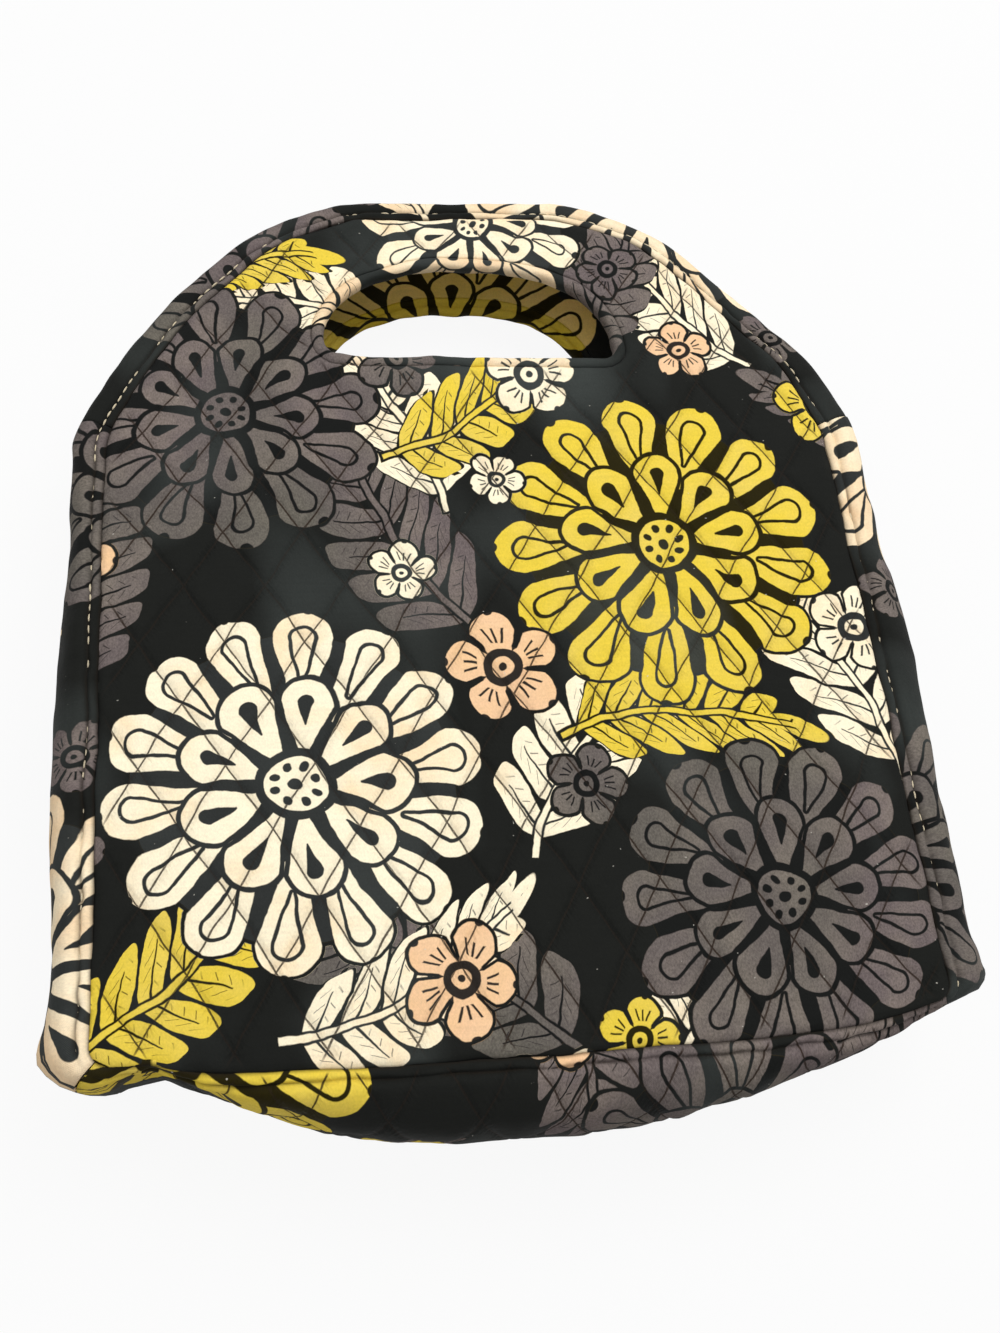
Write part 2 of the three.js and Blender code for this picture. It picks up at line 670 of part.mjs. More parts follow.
// Cloth tab folded over one end of the zip, from one lining to the other and out to the side seam
function endTab() {
  const reach = SLOT_HALF + TAB_WALL;
  const inner = TAIL_END - TAB_POCKET;
  const seam = Math.min(...panelRows(LINING_INSET, ZIP_Y - reach, ZIP_Y + reach).map((row) => row.x));
  const block = toSolid(box(inner, seam, -reach, reach, -STRIP_END, STRIP_END));
  const pocket = toSolid(box(inner - CUT_PAST, TAIL_END + GAP, -SLOT_HALF, SLOT_HALF, -HALF_MOUTH, HALF_MOUTH));
  return fromSolid(block.subtract(pocket));
}

function addZipEnds() {
  add('zip_tail', placed(tail()), TAPE_BLACK);
  add('zip_end_stop', placed(endStop()), METAL);
  add('right_zip_tab', placed(endTab()), CLOTH);
  add('left_zip_tab', placed(endTab().rotateY(Math.PI)), CLOTH);
}

addPanels();
addGussets();
addZipFlaps();
addSlider();
addZipEnds();

// The origin is under the middle of the bag, on the table.
const extent = new THREE.Box3().setFromObject(bag, true);
const centre = extent.getCenter(new THREE.Vector3());
bag.position.set(-centre.x, -centre.y, -extent.min.z);

export default bag;
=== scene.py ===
"""Soft insulated lunch bag of quilted printed cotton, lying on its back on a pale table.

Shapes are worked out in millimetres, with X to the right, Y up the panel from its bottom seam and Z up
from the table, and turned into the frame's metres where a mesh is made. The points of a piece of cloth
carry attributes: "cloth", where on the printed cloth it was cut, "quilt", its place between the quilting
lines in both directions and how much they show, and "crease", how much painted shade darkens it in a
seam's crease. Its faces carry the motifs of the print that reach them.
"""

import math

import bpy
import numpy as np
from mathutils import Matrix, Vector
from mathutils.geometry import delaunay_2d_cdt


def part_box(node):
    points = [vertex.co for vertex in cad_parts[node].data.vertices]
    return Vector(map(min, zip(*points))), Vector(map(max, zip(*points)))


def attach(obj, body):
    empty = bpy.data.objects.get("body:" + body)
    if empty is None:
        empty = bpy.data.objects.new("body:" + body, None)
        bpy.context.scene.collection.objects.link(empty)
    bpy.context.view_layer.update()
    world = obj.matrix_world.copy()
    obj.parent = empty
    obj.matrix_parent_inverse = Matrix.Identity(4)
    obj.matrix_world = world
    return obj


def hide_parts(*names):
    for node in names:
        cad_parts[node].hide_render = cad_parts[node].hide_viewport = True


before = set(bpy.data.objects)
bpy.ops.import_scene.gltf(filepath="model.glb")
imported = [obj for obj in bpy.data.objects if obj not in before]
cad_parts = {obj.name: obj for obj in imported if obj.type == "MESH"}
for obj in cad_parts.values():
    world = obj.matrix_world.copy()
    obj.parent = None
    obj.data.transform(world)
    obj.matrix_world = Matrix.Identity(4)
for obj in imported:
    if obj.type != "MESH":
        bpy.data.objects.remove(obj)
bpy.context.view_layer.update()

MM = 0.001
SEAM_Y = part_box("front_panel")[0][1]  # the bottom seam, in the frame

# Panel outline, as the CAD has it
PANEL_WIDTH = 250.0
PANEL_HEIGHT = 295.0
SIDE_TAPER = 3.0
SHOULDER_HEIGHT = 96.0
SHOULDER_POWER = 1.4
TOP_FLAT = 70.0
CORNER_RADIUS = 6.0
BOTTOM_THICKNESS = 68.0
TOP_THICKNESS = 35.0
CROWN = 3.0

# Layers under a panel's outer face, and how far the gusset bulges past the seam
QUILT = 3.4
FOAM_DEPTH = 3.8
LINING_DEPTH = 7.1
STACK = 8.1
LINING_INSET = 2.0
SHELL_OUT = 2.1
# Bulge of the gusset as the bag lies, at places along the bottom and up the sides
BOTTOM_BULGE = (
    [-119, -108, -97, -90, -82, -78, -72, -62, -50, -40, -30, -20, -8, 3, 14, 24]
    + [35, 40, 46, 52, 57, 63, 69, 74, 80, 85, 90, 95, 104, 111, 116, 119],
    [1.2, -1.2, 2, 4.1, 5.4, 7.5, 10.4, 15, 17.6, 18.8, 18.3, 18.9, 19.6, 18.9, 19.2, 18.1]
    + [17.9, 18.1, 16.2, 15.3, 15.0, 14.7, 12.8, 11.5, 10.5, 9.9, 8.2, 6.2, 4.3, 2.9, 1.5, 0.5],
)
LEFT_BULGE = ([6, 14, 36, 70, 110, 199, 260, 295], [13.9, 12.2, 10.2, 11.8, 12.4, 9.2, 8, 6.2])
RIGHT_BULGE = (
    [6, 9, 12, 16, 22, 32, 60, 150, 199, 260, 295],
    [16, 18.4, 17.3, 16.5, 15.6, 15, 16, 16.5, 12, 8, 6.2],
)
RIGHT_TURN = 3.8  # how late the right side's bulge sets in round the corner
GUSSET_SQUARENESS = 5.0
BAND_SQUARENESS = 4.0
BAND_HEIGHT = 12.5
BANDED = (176.0, 204.0)  # heights between which the gusset turns into the two edge bands
TABLE_GAP = 0.3  # nothing swept round the rim lies lower
CUT_GAP = 0.15  # between pieces of cloth that meet
CLOTH_THICK = 0.8  # of the lining and the facings
FOAM_THICK = 2.95

# Hand hole and zip
HOLE_BOTTOM = 233.0
HOLE_HEIGHT = 40.0
HOLE_WIDTH = 102.0
HOLE_CORNER = 4.0
HOLE_POWER = 0.88
LIP = 3.9
ZIP_Y = 207.0
GUSSET_TOP = 206.0

# Quilting: diamonds one inch wide, and the place of one crossing
DIAMOND_WIDTH = 25.4
DIAMOND_HEIGHT = 43.5
LINE_STEP = DIAMOND_WIDTH * DIAMOND_HEIGHT / math.hypot(DIAMOND_WIDTH, DIAMOND_HEIGHT)
CROSSING = (-10.0, 5.2)
CLOTH_TAKEN_UP = 0.00042

# Topstitching beside every seam
TOPSTITCH = 3.3
STITCH = 2.9
STITCH_STEP = 3.6
STITCH_THICK = 0.7

# How the soft bag lies, unlike its evenly cut panels: a place on it, how far to the left, right, down and up
# the cloth follows, and the move, in mm. The second list moves only what lies on the table.
SHIFTS = [
    (-112, 0, 999, 11, 999, 18, 0, 4.6),
    (126, 0, 16, 999, 999, 18, 0, 5.5),
    (20, 0, 45, 45, 999, 20, 0, -1.3),
    (10, 295, 28, 28, 20, 999, 0, 2.0),
    (70, 285, 20, 22, 24, 999, 2.9, 4.0),
    (-66, 280, 14, 14, 20, 999, -1.2, 1.8),
    (-119, 226, 999, 14, 13, 13, 1.5, 0),
    (112, 231, 14, 999, 16, 16, 2.0, 1.3),
    (0, 233, 62, 62, 8, 6, 0, 1.9),
    (-49, 235, 6, 8, 6, 6, 1.8, 2.2),
]
LOW_SHIFTS = [
    (0, 264, 62, 62, 16, 20, 0, 2.4),
    (36, 264, 20, 22, 16, 20, 0, 0.9),
]


def settle(points):
    """Moves points of the evenly cut bag to where its cloth lies."""
    x, y = points[:, 0].copy(), points[:, 1].copy()
    lying = smoothstep(20, 13, points[:, 2])
    moves = [(move, 1.0) for move in SHIFTS] + [(move, lying) for move in LOW_SHIFTS]
    for (cx, cy, left, right, down, up, dx, dy), amount in moves:
        across = (x - cx) / np.where(x < cx, left, right)
        along = (y - cy) / np.where(y < cy, down, up)
        share = np.exp(-0.5 * (across**2 + along**2)) * amount
        points[:, :2] += share[:, None] * [dx, dy]
    points[:, 0] += 0.5 * noise(x, y, 15, 81) + 0.25 * noise(x, y, 6, 82)
    points[:, 1] += 0.4 * noise(x, y, 17, 83) + 0.25 * noise(x, y, 6, 84)


def smoothstep(low, high, value):
    """0 at low, 1 at high and smooth between. low may be the greater."""
    t = np.clip((value - low) / (high - low), 0, 1)
    return t * t * (3 - 2 * t)


def bell(value, width):
    """1 at zero, and near 0 from two widths on."""
    return np.exp(-((value / width) ** 2))


NOISE = np.random.default_rng(11).random((64, 64)) * 2 - 1


def noise(x, y, cell, layer=0):
    """Smooth noise from -1 to 1 with bumps about a cell wide. Each layer differs."""
    x = np.asarray(x, float) / cell + 7.31 * layer
    y = np.asarray(y, float) / cell + 3.77 * layer
    i, j = np.floor(x).astype(int), np.floor(y).astype(int)
    fx, fy = x - i, y - j
    fx, fy = fx * fx * (3 - 2 * fx), fy * fy * (3 - 2 * fy)
    at = lambda a, b: NOISE[(i + a) % 64, (j + b) % 64]
    low = at(0, 0) * (1 - fx) + at(1, 0) * fx
    high = at(0, 1) * (1 - fx) + at(1, 1) * fx
    return low * (1 - fy) + high * fy


def front_face(y):
    """Height of the front panel's outer face over the table."""
    t = np.clip(np.asarray(y, float) / PANEL_HEIGHT, 0, 1)
    return BOTTOM_THICKNESS + (TOP_THICKNESS - BOTTOM_THICKNESS) * t + CROWN * 4 * t * (1 - t)


def sag(x, y):
    """Slow unevenness of the padded front."""
    return 1.3 * noise(x, y, 74, 1) + 0.7 * noise(x, y, 38, 2)

def at_depth(side, y, depth):
    """Height over the table at a depth under a panel's outer face."""
    return front_face(y) - depth if side == "front" else depth + 0 * y


# Outline of the seam


def distances(points):
    """How far along a line of points each of them is."""
    return np.concatenate([[0], np.cumsum(np.linalg.norm(np.diff(points, axis=0), axis=1))])


def unit(rows):
    """Vectors made 1 long."""
    return rows / np.linalg.norm(rows, axis=1)[:, None]


def resample(points, step):
    """Points at even distances along a line of points."""
    along = distances(points)
    even = np.linspace(0, along[-1], max(2, int(round(along[-1] / step)) + 1))
    return np.stack([np.interp(even, along, column) for column in points.T], 1)


def half_outline():
    """Right half of the seam, from the middle of the bottom to the middle of the top."""
    half, top = PANEL_WIDTH / 2, TOP_FLAT / 2
    shoulder, start = half - SIDE_TAPER, PANEL_HEIGHT - SHOULDER_HEIGHT
    t = np.linspace(0, np.pi / 2, 160)
    corner = [half + CORNER_RADIUS * (np.sin(t) - 1), CORNER_RADIUS * (1 - np.cos(t))]
    along = np.cos(t).clip(0) ** SHOULDER_POWER
    arch = [top + (shoulder - top) * along, start + SHOULDER_HEIGHT * np.sin(t) ** SHOULDER_POWER]
    parts = [np.zeros((1, 2)), np.stack(corner, 1), np.stack(arch, 1), [[0, PANEL_HEIGHT]]]
    return resample(np.concatenate(parts), 0.5)


CORNER_START = PANEL_WIDTH / 2 - CORNER_RADIUS
CORNER_END = CORNER_START + CORNER_RADIUS * math.pi / 2


class Rim:
    """The seam's right half with its outward direction, by distance from the middle of the bottom."""

    points = half_outline()
    along = distances(points)
    normal = np.gradient(points, along, axis=0)[:, ::-1] * [1, -1]
    for k in (0, 1):
        normal[:, k] = np.convolve(np.pad(normal[:, k], 6, "edge"), np.ones(13) / 13, "valid")
    normal = unit(normal)
    length = along[-1]

    @classmethod
    def at(cls, s):
        """x, y, nx, ny and bulge at distances s. A negative distance is on the left."""
        left, s = s < 0, np.abs(s)
        sign = np.where(left, -1.0, 1.0)
        x, y, nx, ny = (np.interp(s, cls.along, c) for c in (*cls.points.T, *cls.normal.T))
        x = x * sign
        side = np.where(left, np.interp(y, *LEFT_BULGE), np.interp(y, *RIGHT_BULGE))
        turn = np.clip((s - CORNER_START) / (CORNER_END - CORNER_START), 0, 1)
        turn = turn ** np.where(left, 1.0, RIGHT_TURN)
        return x, y, nx * sign, ny, np.interp(x, *BOTTOM_BULGE) * (1 - turn) + side * turn


def mirrored(right, step):
    """A closed line in even steps, from its right half."""
    right = resample(right, step)
    return np.concatenate([right, right[::-1][1:-1] * [-1, 1]])


def hole_loop(step):
    half = HOLE_WIDTH / 2
    turn = np.linspace(-np.pi / 2, 0, 12)
    corner = [half + HOLE_CORNER * (np.cos(turn) - 1), HOLE_BOTTOM + HOLE_CORNER * (1 + np.sin(turn))]
    turn = np.linspace(0, np.pi / 2, 120)[1:]
    along = half * np.abs(np.cos(turn)) ** HOLE_POWER
    along[-1] = 0
    rise = HOLE_BOTTOM + HOLE_CORNER + (HOLE_HEIGHT - HOLE_CORNER) * np.sin(turn) ** HOLE_POWER
    right = [[[0, HOLE_BOTTOM]], np.stack(corner, 1), np.stack([along, rise], 1)]
    return mirrored(np.concatenate(right), step)


def loop_normals(loop, smooth=3):
    slope = np.roll(loop, -smooth, 0) - np.roll(loop, smooth, 0)
    return unit(slope[:, ::-1] * [1, -1])


def distance_to(loop, points):
    """Distance of points to a closed line, and whether they are inside it."""
    a, b = loop, np.roll(loop, -1, 0)
    ab = b - a
    parts = []
    for start in range(0, len(points), 4000):
        p = points[start : start + 4000, None, :]
        t = np.clip(((p - a) * ab).sum(2) / (ab**2).sum(1), 0, 1)
        gap = np.sqrt((((p - a) - ab * t[..., None]) ** 2).sum(2).min(1))
        x, y = p[..., 0], p[..., 1]
        crosses = (a[:, 1] > y) != (b[:, 1] > y)
        with np.errstate(divide="ignore", invalid="ignore"):
            reach = a[:, 0] + (y - a[:, 1]) / (b[:, 1] - a[:, 1]) * (b[:, 0] - a[:, 0])
        parts.append((gap, (crosses & (x < reach)).sum(1) % 2 == 1))
    return [np.concatenate(column) for column in zip(*parts)]


# Meshes


def border(faces):
    """The directed edges that only one face uses."""
    pairs = np.stack([faces, np.roll(faces, -1, 1)], 2).transpose(1, 0, 2).reshape(-1, 2)
    span = faces.max() + 1
    return pairs[~np.isin(pairs @ [1, span], pairs @ [span, 1])]


def volume(points, faces):
    """Six times what faces enclose, negative where they face inwards."""
    corners = points[faces]
    return (corners[:, :1] * np.cross(corners[:, 1:-1], corners[:, 2:])).sum()


def add_object(name, data):
    thing = bpy.data.objects.new(name, data)
    bpy.context.collection.objects.link(thing)
    return thing


def add_layer(mesh, name, domain, values):
    layer = mesh.attributes.new(name, "FLOAT_VECTOR", domain)
    layer.data.foreach_set("vector", np.asarray(values, np.float32).ravel())


def make_object(name, points, faces, material, cloth=None, body="bag", loose=True, **marks):
    """A mesh object from millimetres and lists of faces, riding on a body. A loose one lies as the bag does.
    cloth is where each point is on the printed cloth. marks are more attributes, for its first points."""
    points = np.array(points, float)
    if loose:
        settle(points)
    if sum(volume(points, f) for f in faces) < 0:
        faces = [f[:, ::-1] for f in faces]
    mesh = bpy.data.meshes.new(name)
    placed = points * MM + [0, SEAM_Y, 0]
    mesh.from_pydata(placed.tolist(), [], [row for f in faces for row in f.tolist()])
    if cloth is not None:
        add_layer(mesh, "cloth", "POINT", np.pad(cloth, ((0, 0), (0, 1))))
        for key, values in marks.items():
            add_layer(mesh, key, "POINT", np.pad(values, ((0, len(points) - len(values)), (0, 0))))
        place_motifs(mesh, cloth, faces)
    mesh.polygons.foreach_set("use_smooth", np.ones(len(mesh.polygons), bool))
    mesh.materials.append(material)
    piece = add_object(name, mesh)
    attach(piece, body)
    return piece


def place_motifs(mesh, cloth, faces):
    """Gives every face the few motifs of the print that reach it, lowest first."""
    corners = [cloth[f] for f in faces]
    centre = np.concatenate([c.mean(1) for c in corners])
    reach = [np.linalg.norm(c - c.mean(1)[:, None], axis=2).max(1) for c in corners]
    margin = np.concatenate(reach) + HALO + 1.2
    for kind, (motifs, slots, parts) in KINDS.items():
        values = np.zeros((slots, 3, len(centre), 3), np.float32)
        values[:, 0, :, :2] = FAR
        values[:, 1] = 1.0
        left = np.full(len(centre), slots)
        for paint, x, y, turn, *form in reversed(motifs):
            cosine, sine = math.cos(turn), math.sin(turn)
            half = form[0] / 2 if kind == "spray" else 0
            shift = TILE * np.round((centre - (x + cosine * half, y + sine * half)) / TILE)
            dx, dy = (centre - shift - (x, y)).T
            if kind == "spray":
                long, leaf, bend = form[:3]
                s = dx * cosine + dy * sine
                t = dy * cosine - dx * sine - s * s * bend
                near = (s > -6 - margin) & (s < long + 22 + margin) & (np.abs(t) < leaf + 2 + margin)
            else:
                near = np.hypot(dx, dy) < form[0] * 1.03 + margin
            at = np.nonzero(near & (left > 0))[0]
            left[at] -= 1
            slot = left[at]
            values[slot, 0, at] = np.column_stack([shift[at] + (x, y), np.full(len(at), turn)])
            rest = [*form, paint, 0, 0, 0, 0]
            values[slot, 1, at] = rest[:3]
            values[slot, 2, at] = rest[3:6]
        for slot in range(slots):
            for k, part in enumerate(parts):
                add_layer(mesh, f"{kind}{slot}_{part}", "FACE", values[slot, k])


def shell(name, outer, inner, faces, material, cloth, **more):
    """A closed sheet between two surfaces of the same faces."""
    n = len(outer)
    rim = border(faces)
    lists = [faces, faces[:, ::-1] + n, np.hstack([rim[:, ::-1], rim + n])]
    return make_object(name, np.concatenate([outer, inner]), lists, material, np.tile(cloth, (2, 1)), **more)


def grid_faces(rows, cols, closed_rows=False, closed_cols=False):
    r, c = np.indices((rows - (not closed_rows), cols - (not closed_cols))).reshape(2, -1)
    r2, c2 = (r + 1) % rows, (c + 1) % cols
    return np.stack([r * cols + c, r * cols + c2, r2 * cols + c2, r2 * cols + c], 1)


def stands_for(node):
    """Hides a CAD node whose place a soft piece takes."""
    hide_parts(node)


# Quilting


def quilt_phase(u, v):
    """Which quilting lines a point of cloth lies between, in both directions, in whole lines."""
    v = v + CLOTH_TAKEN_UP * v * np.abs(v) + 0.5 * noise(u, v, 24, 3)
    u = u + 0.6 * noise(u, v, 27, 4) + 0.34 * noise(u, v, 5.5, 7)
    u, v = (u - CROSSING[0]) / DIAMOND_WIDTH, (v - CROSSING[1]) / DIAMOND_HEIGHT
    return u + v, u - v


def quilt_height(a, b, depth=1.0):
    """How far quilted cloth lies under its highest level, in mm."""
    da, db = (np.abs(s - np.round(s)) * LINE_STEP for s in (a, b))
    d = np.minimum(da, db)
    groove = 0.62 * bell(d, 1.1) + 0.55 * bell(d, 4.0)
    pucker = noise(b * LINE_STEP, a * 3.1, 3.6, 5) * np.exp(-da / 2.6)
    pucker = pucker + noise(a * LINE_STEP, b * 3.1, 3.6, 6) * np.exp(-db / 2.6)
    return -depth * (groove - 0.17 * pucker)


# Materials


def linear(code):
    """A colour written as in a picture, as the linear values a shader takes."""
    values = [int(code[i : i + 2], 16) / 255 for i in (1, 3, 5)]
    return [v / 12.92 if v <= 0.04045 else ((v + 0.055) / 1.055) ** 2.4 for v in values] + [1.0]


# Colours of the print, and the black over and round each, the last where there is no paint
CREAM, TAUPE, LIME, BLUSH, BARE = range(5)
PAINTS = [linear(c) for c in ("#f3e7ca", "#655b5a", "#dcc142", "#e6bd94", "#191a18")]
GROUNDS = [linear(c) for c in ("#2b2d2c", "#131413", "#221d05", "#2a2521", "#181917")]
# Painted sheen: the lighter grey that patches of the black ground turn toward
GROUND_SHEEN = linear("#454a48")


class Wire:
    """A number in a node tree. Sums, products and the functions below add Math nodes to it."""

    def __init__(self, socket):
        self.socket, self.tree = socket, socket.id_data

    def math(self, operation, *others, clamp=False):
        node = self.tree.nodes.new("ShaderNodeMath")
        node.operation, node.use_clamp = operation, clamp
        return Wire(feed(node, (self, *others))[0])

    def __add__(self, other):
        return self.math("ADD", other)

    def __sub__(self, other):
        return self.math("SUBTRACT", other)

    def __mul__(self, other):
        return self.math("MULTIPLY", other)

    def __truediv__(self, other):
        return self.math("DIVIDE", other)

    def __neg__(self):
        return self.math("MULTIPLY", -1.0)

    def __rsub__(self, other):
        return self.math("MULTIPLY_ADD", -1.0, other)

    def __rtruediv__(self, other):
        return self.math("POWER", -1.0) * other

    __radd__, __rmul__ = __add__, __mul__


def feed(node, inputs):
    """Gives a node's inputs, in order or by name, their values or wires. Returns its outputs."""
    for key, value in inputs.items() if isinstance(inputs, dict) else enumerate(inputs):
        if isinstance(value, Wire):
            value.tree.links.new(value.socket, node.inputs[key])
        else:
            node.inputs[key].default_value = value
    return node.outputs


def low(a, b):
    return a.math("MINIMUM", b)


def high(a, b):
    return a.math("MAXIMUM", b)


def size(a):
    return a.math("ABSOLUTE")


def clamp(a):
    return a.math("ADD", 0.0, clamp=True)


def length(a, b):
    return (a * a + b * b).math("SQRT")


SHARP = 3.5


def inside(distance):
    """1 where a distance in mm is below zero, 0 above, with a soft step between."""
    return distance.math("MULTIPLY_ADD", -SHARP, 0.5, clamp=True)


def group(name, inputs, outputs, build):
    """A node group whose build turns wires into results."""
    tree = bpy.data.node_groups.new(name, "ShaderNodeTree")
    for title in inputs:
        tree.interface.new_socket(title, in_out="INPUT", socket_type="NodeSocketFloat")
    for title, kind in outputs.items():
        tree.interface.new_socket(title, in_out="OUTPUT", socket_type="NodeSocket" + kind)
    source, end = tree.nodes.new("NodeGroupInput"), tree.nodes.new("NodeGroupOutput")
    feed(end, build(*(Wire(s) for s in source.outputs[: len(inputs)])))
    return tree


def use(inner, *values):
    """Adds a node group to the tree of its inputs and gives its outputs."""
    node = values[0].tree.nodes.new("ShaderNodeGroup")
    node.node_tree = inner
    return [Wire(s) for s in feed(node, values)]


def mixed(factor, a, b, kind="RGBA"):
    """a turned into b by factor."""
    node = factor.tree.nodes.new("ShaderNodeMix")
    node.data_type = kind
    first, result = {"RGBA": (6, 2), "FLOAT": (2, 0)}[kind]
    return Wire(feed(node, {0: factor, first: a, first + 1: b})[result])


# The print: daisies, leaf sprays and small blossoms of no one's design, on a repeating piece of cloth.
# Each motif gives two distances in mm: to its silhouette, and to what is inked within it. Every face carries
# the motifs that reach it as attributes, so only a few are worked out at each point.


def petals(r, theta, count, turn, start, end, narrow, wide):
    sector = 2 * math.pi / count
    angle = ((theta / sector + turn).math("FRACT") - 0.5) * sector
    along, aside = r * angle.math("COSINE"), r * angle.math("SINE")
    return drop(along, aside, start, end, narrow, wide), along, aside


def drop(along, aside, start, end, narrow, wide):
    """Distance to a drop shape lying along a petal."""
    t = clamp((along - start) * (1 / (end - start)))
    return length(along - start - t * (end - start), aside) - narrow - t * (wide - narrow)


def daisy(x, y, turn, radius, count):
    """Two rings of petals, the outer ones with a drop drawn inside, round a dotted heart."""
    x, y = x / radius, y / radius
    r, theta = length(x, y), y.math("ARCTAN2", x)
    outer, along, aside = petals(r, theta, count, turn, 0.45, 0.84, 0.05, 2.2 / count)
    notched = high(outer, 0.045 - length(along - 1.035, aside))
    line = size(drop(along, aside, 0.58, 0.84, 0.012, 0.07)) - 0.0105
    inner, along, aside = petals(r, theta, 9.0, turn + 0.3, 0.2, 0.46, 0.03, 0.143)
    slit = drop(along, aside, 0.33, 0.47, 0.006, 0.045)
    core = r - 0.175
    ring = high(high(notched, 0.028 - inner), -line)
    middle = high(high(inner, 0.03 - core), -slit)
    bead, along, aside = petals(r, theta, 8.0, 0.0, 0.1, 0.11, 0.022, 0.022)
    heart = high(high(r - 0.155, -bead), 0.035 - r)
    return low(outer, r - 0.84) * radius, low(low(ring, middle), heart) * radius


def spray(x, y, turn, long, leaf, bend, pitch):
    """Pairs of leaves along a bent stem, with a leaf at its tip."""
    cosine, sine = turn.math("COSINE"), turn.math("SINE")
    s = x * cosine + y * sine
    t = y * cosine - x * sine - s * s * bend
    aside = size(t)
    k = s - aside * 0.75
    middle = ((k / pitch).math("FLOOR") + 0.5) * pitch
    across = k - middle
    u = size(across)
    taper = middle / long - 0.35
    reach = leaf * high(1.02 - taper * taper / 0.46, 0.0001).math("SQRT")
    q = aside / reach
    wide = high(q * (1 - q) * 4, 0.0).math("POWER", 0.25) * pitch * 0.45
    blade = high(high(u - wide, aside - reach), size(middle - long * 0.5) - long * 0.5)
    vein = high(u - 0.12 - (1 - q) * 0.4, aside - reach * 0.74)
    side_vein = size(((aside + u * 0.9) / 3.6).math("FRACT") - 0.5) * 3.6 - 0.13
    side_vein = high(high(side_vein, u - wide * 0.62), high(0.9 - u, size(q - 0.5) - 0.24))
    beyond = size(s - long * 0.5) - long * 0.5
    stem = high(aside - 0.9, beyond - 4)
    tip = length((s - long - 3) * 0.55, t) - 4.2
    blade = low(blade, tip)
    gap = high(aside - 1.7, beyond - 2)
    return low(blade, stem), low(high(high(blade, -low(vein, side_vein)), -gap), stem)


def blossom(x, y, turn, radius):
    """Five notched petals with three lines each round a ringed eye."""
    x, y = x / radius, y / radius
    r, theta = length(x, y), y.math("ARCTAN2", x)
    petal, along, aside = petals(r, theta, 5.0, turn, 0.35, 0.62, 0.2, 0.36)
    notched = high(petal, 0.09 - length(along - 1.02, aside))
    core = r - 0.25
    rib = low(size(aside), size(size(aside) - (along - 0.25) * 0.42)) - 0.022
    rib = high(rib, size(along - 0.55) - 0.12)
    eye = high(r - 0.18, 0.07 - r)
    return low(petal, r - 0.4) * radius, low(high(high(notched, 0.08 - core), -rib), eye) * radius


TILE = np.array([300.0, 330.0])  # after which the print repeats
HALO = 1.1  # the bare rim round a motif
FAR = 9e4  # where no motif reaches a face
# Motifs from the lowest to the topmost: colour, place in mm and turn, then a spray's length, leaf, bend and
# leaf step, a daisy's radius and number of petals, or a blossom's radius
SPRAYS = [
    (TAUPE, -8, 132, 2.35, 88, 23, -0.004, 13),
    (TAUPE, 128, 262, 2.2, 74, 20, 0.005, 13),
    (CREAM, 4, 60, 1.25, 74, 20, -0.006, 12),
    (CREAM, -14, 178, 1.75, 66, 19, 0.005, 12),
    (LIME, -30, 196, 0.25, 66, 17, 0.007, 11),
    (TAUPE, 10, 2, 2.35, 74, 19, 0.005, 13),
    (CREAM, 124, 78, 1.75, 84, 20, 0.004, 13),
    (CREAM, 96, 232, 2.55, 64, 19, -0.005, 12),
    (LIME, -134, 2, 0.45, 76, 18, 0.004, 12),
    (TAUPE, -136, 118, 1.15, 70, 18, 0.004, 11),
    (TAUPE, 30, 236, 0.75, 66, 17, 0.005, 11),
    (CREAM, -30, 250, 2.75, 78, 19, 0.005, 13),
    (LIME, 20, 96, 0.35, 64, 16, -0.006, 10),
    (CREAM, 38, -8, 1.0, 50, 15, 0.004, 10),
    (CREAM, -70, 8, 0.1, 66, 16, 0.006, 11),
    (LIME, -100, 266, 0.5, 46, 13, -0.006, 9),
    (TAUPE, 136, 196, 2.2, 40, 12, 0.006, 9),
]
DAISIES = [
    (TAUPE, 78, 40, 0.1, 50, 13),
    (CREAM, -66, 82, 0.2, 57, 14),
    (LIME, 58, 160, 0.0, 56, 13),
    (TAUPE, -84, 212, 0.3, 50, 12),
    (CREAM, 6, 292, 0.15, 38, 11),
]
BLOSSOMS = [
    (BLUSH, 0, 118, 0.1, 19),
    (CREAM, 20, 226, 0.3, 16),
    (BLUSH, -22, 22, 0.6, 17),
    (LIME, 122, 214, 0.2, 16),
    (CREAM, 118, 128, 0.5, 16),
    (BLUSH, -132, 158, 0.5, 14),
    (TAUPE, -26, 232, 0.5, 14),
    (TAUPE, 22, 78, 0.5, 13),
    (CREAM, 142, 8, 0.5, 17),
    (LIME, 28, 2, 0.5, 13),
    (LIME, -122, 262, 0.1, 15),
    (CREAM, -30, 152, 0.4, 11),
    (BLUSH, 74, 236, 0.2, 12),
    (TAUPE, -132, 66, 0.6, 12),
    (CREAM, 4, 186, 0.7, 10),
    (TAUPE, 52, 270, 0.9, 11),
]
# The motifs of each kind, how many of them can reach one face, and the attributes for the numbers of one
KINDS = {
    "spray": (SPRAYS, 3, ("place", "form", "look")),
    "daisy": (DAISIES, 1, ("place", "form")),
    "blossom": (BLOSSOMS, 1, ("place", "form")),
}


def split(socket):
    """The three numbers of a vector or colour."""
    node = socket.id_data.nodes.new("ShaderNodeSeparateXYZ")
    return [Wire(s) for s in feed(node, [Wire(socket)])]


def attribute(tree, name):
    """The three numbers of a mesh attribute."""
    node = tree.nodes.new("ShaderNodeAttribute")
    node.attribute_name = name
    return split(node.outputs["Vector"])


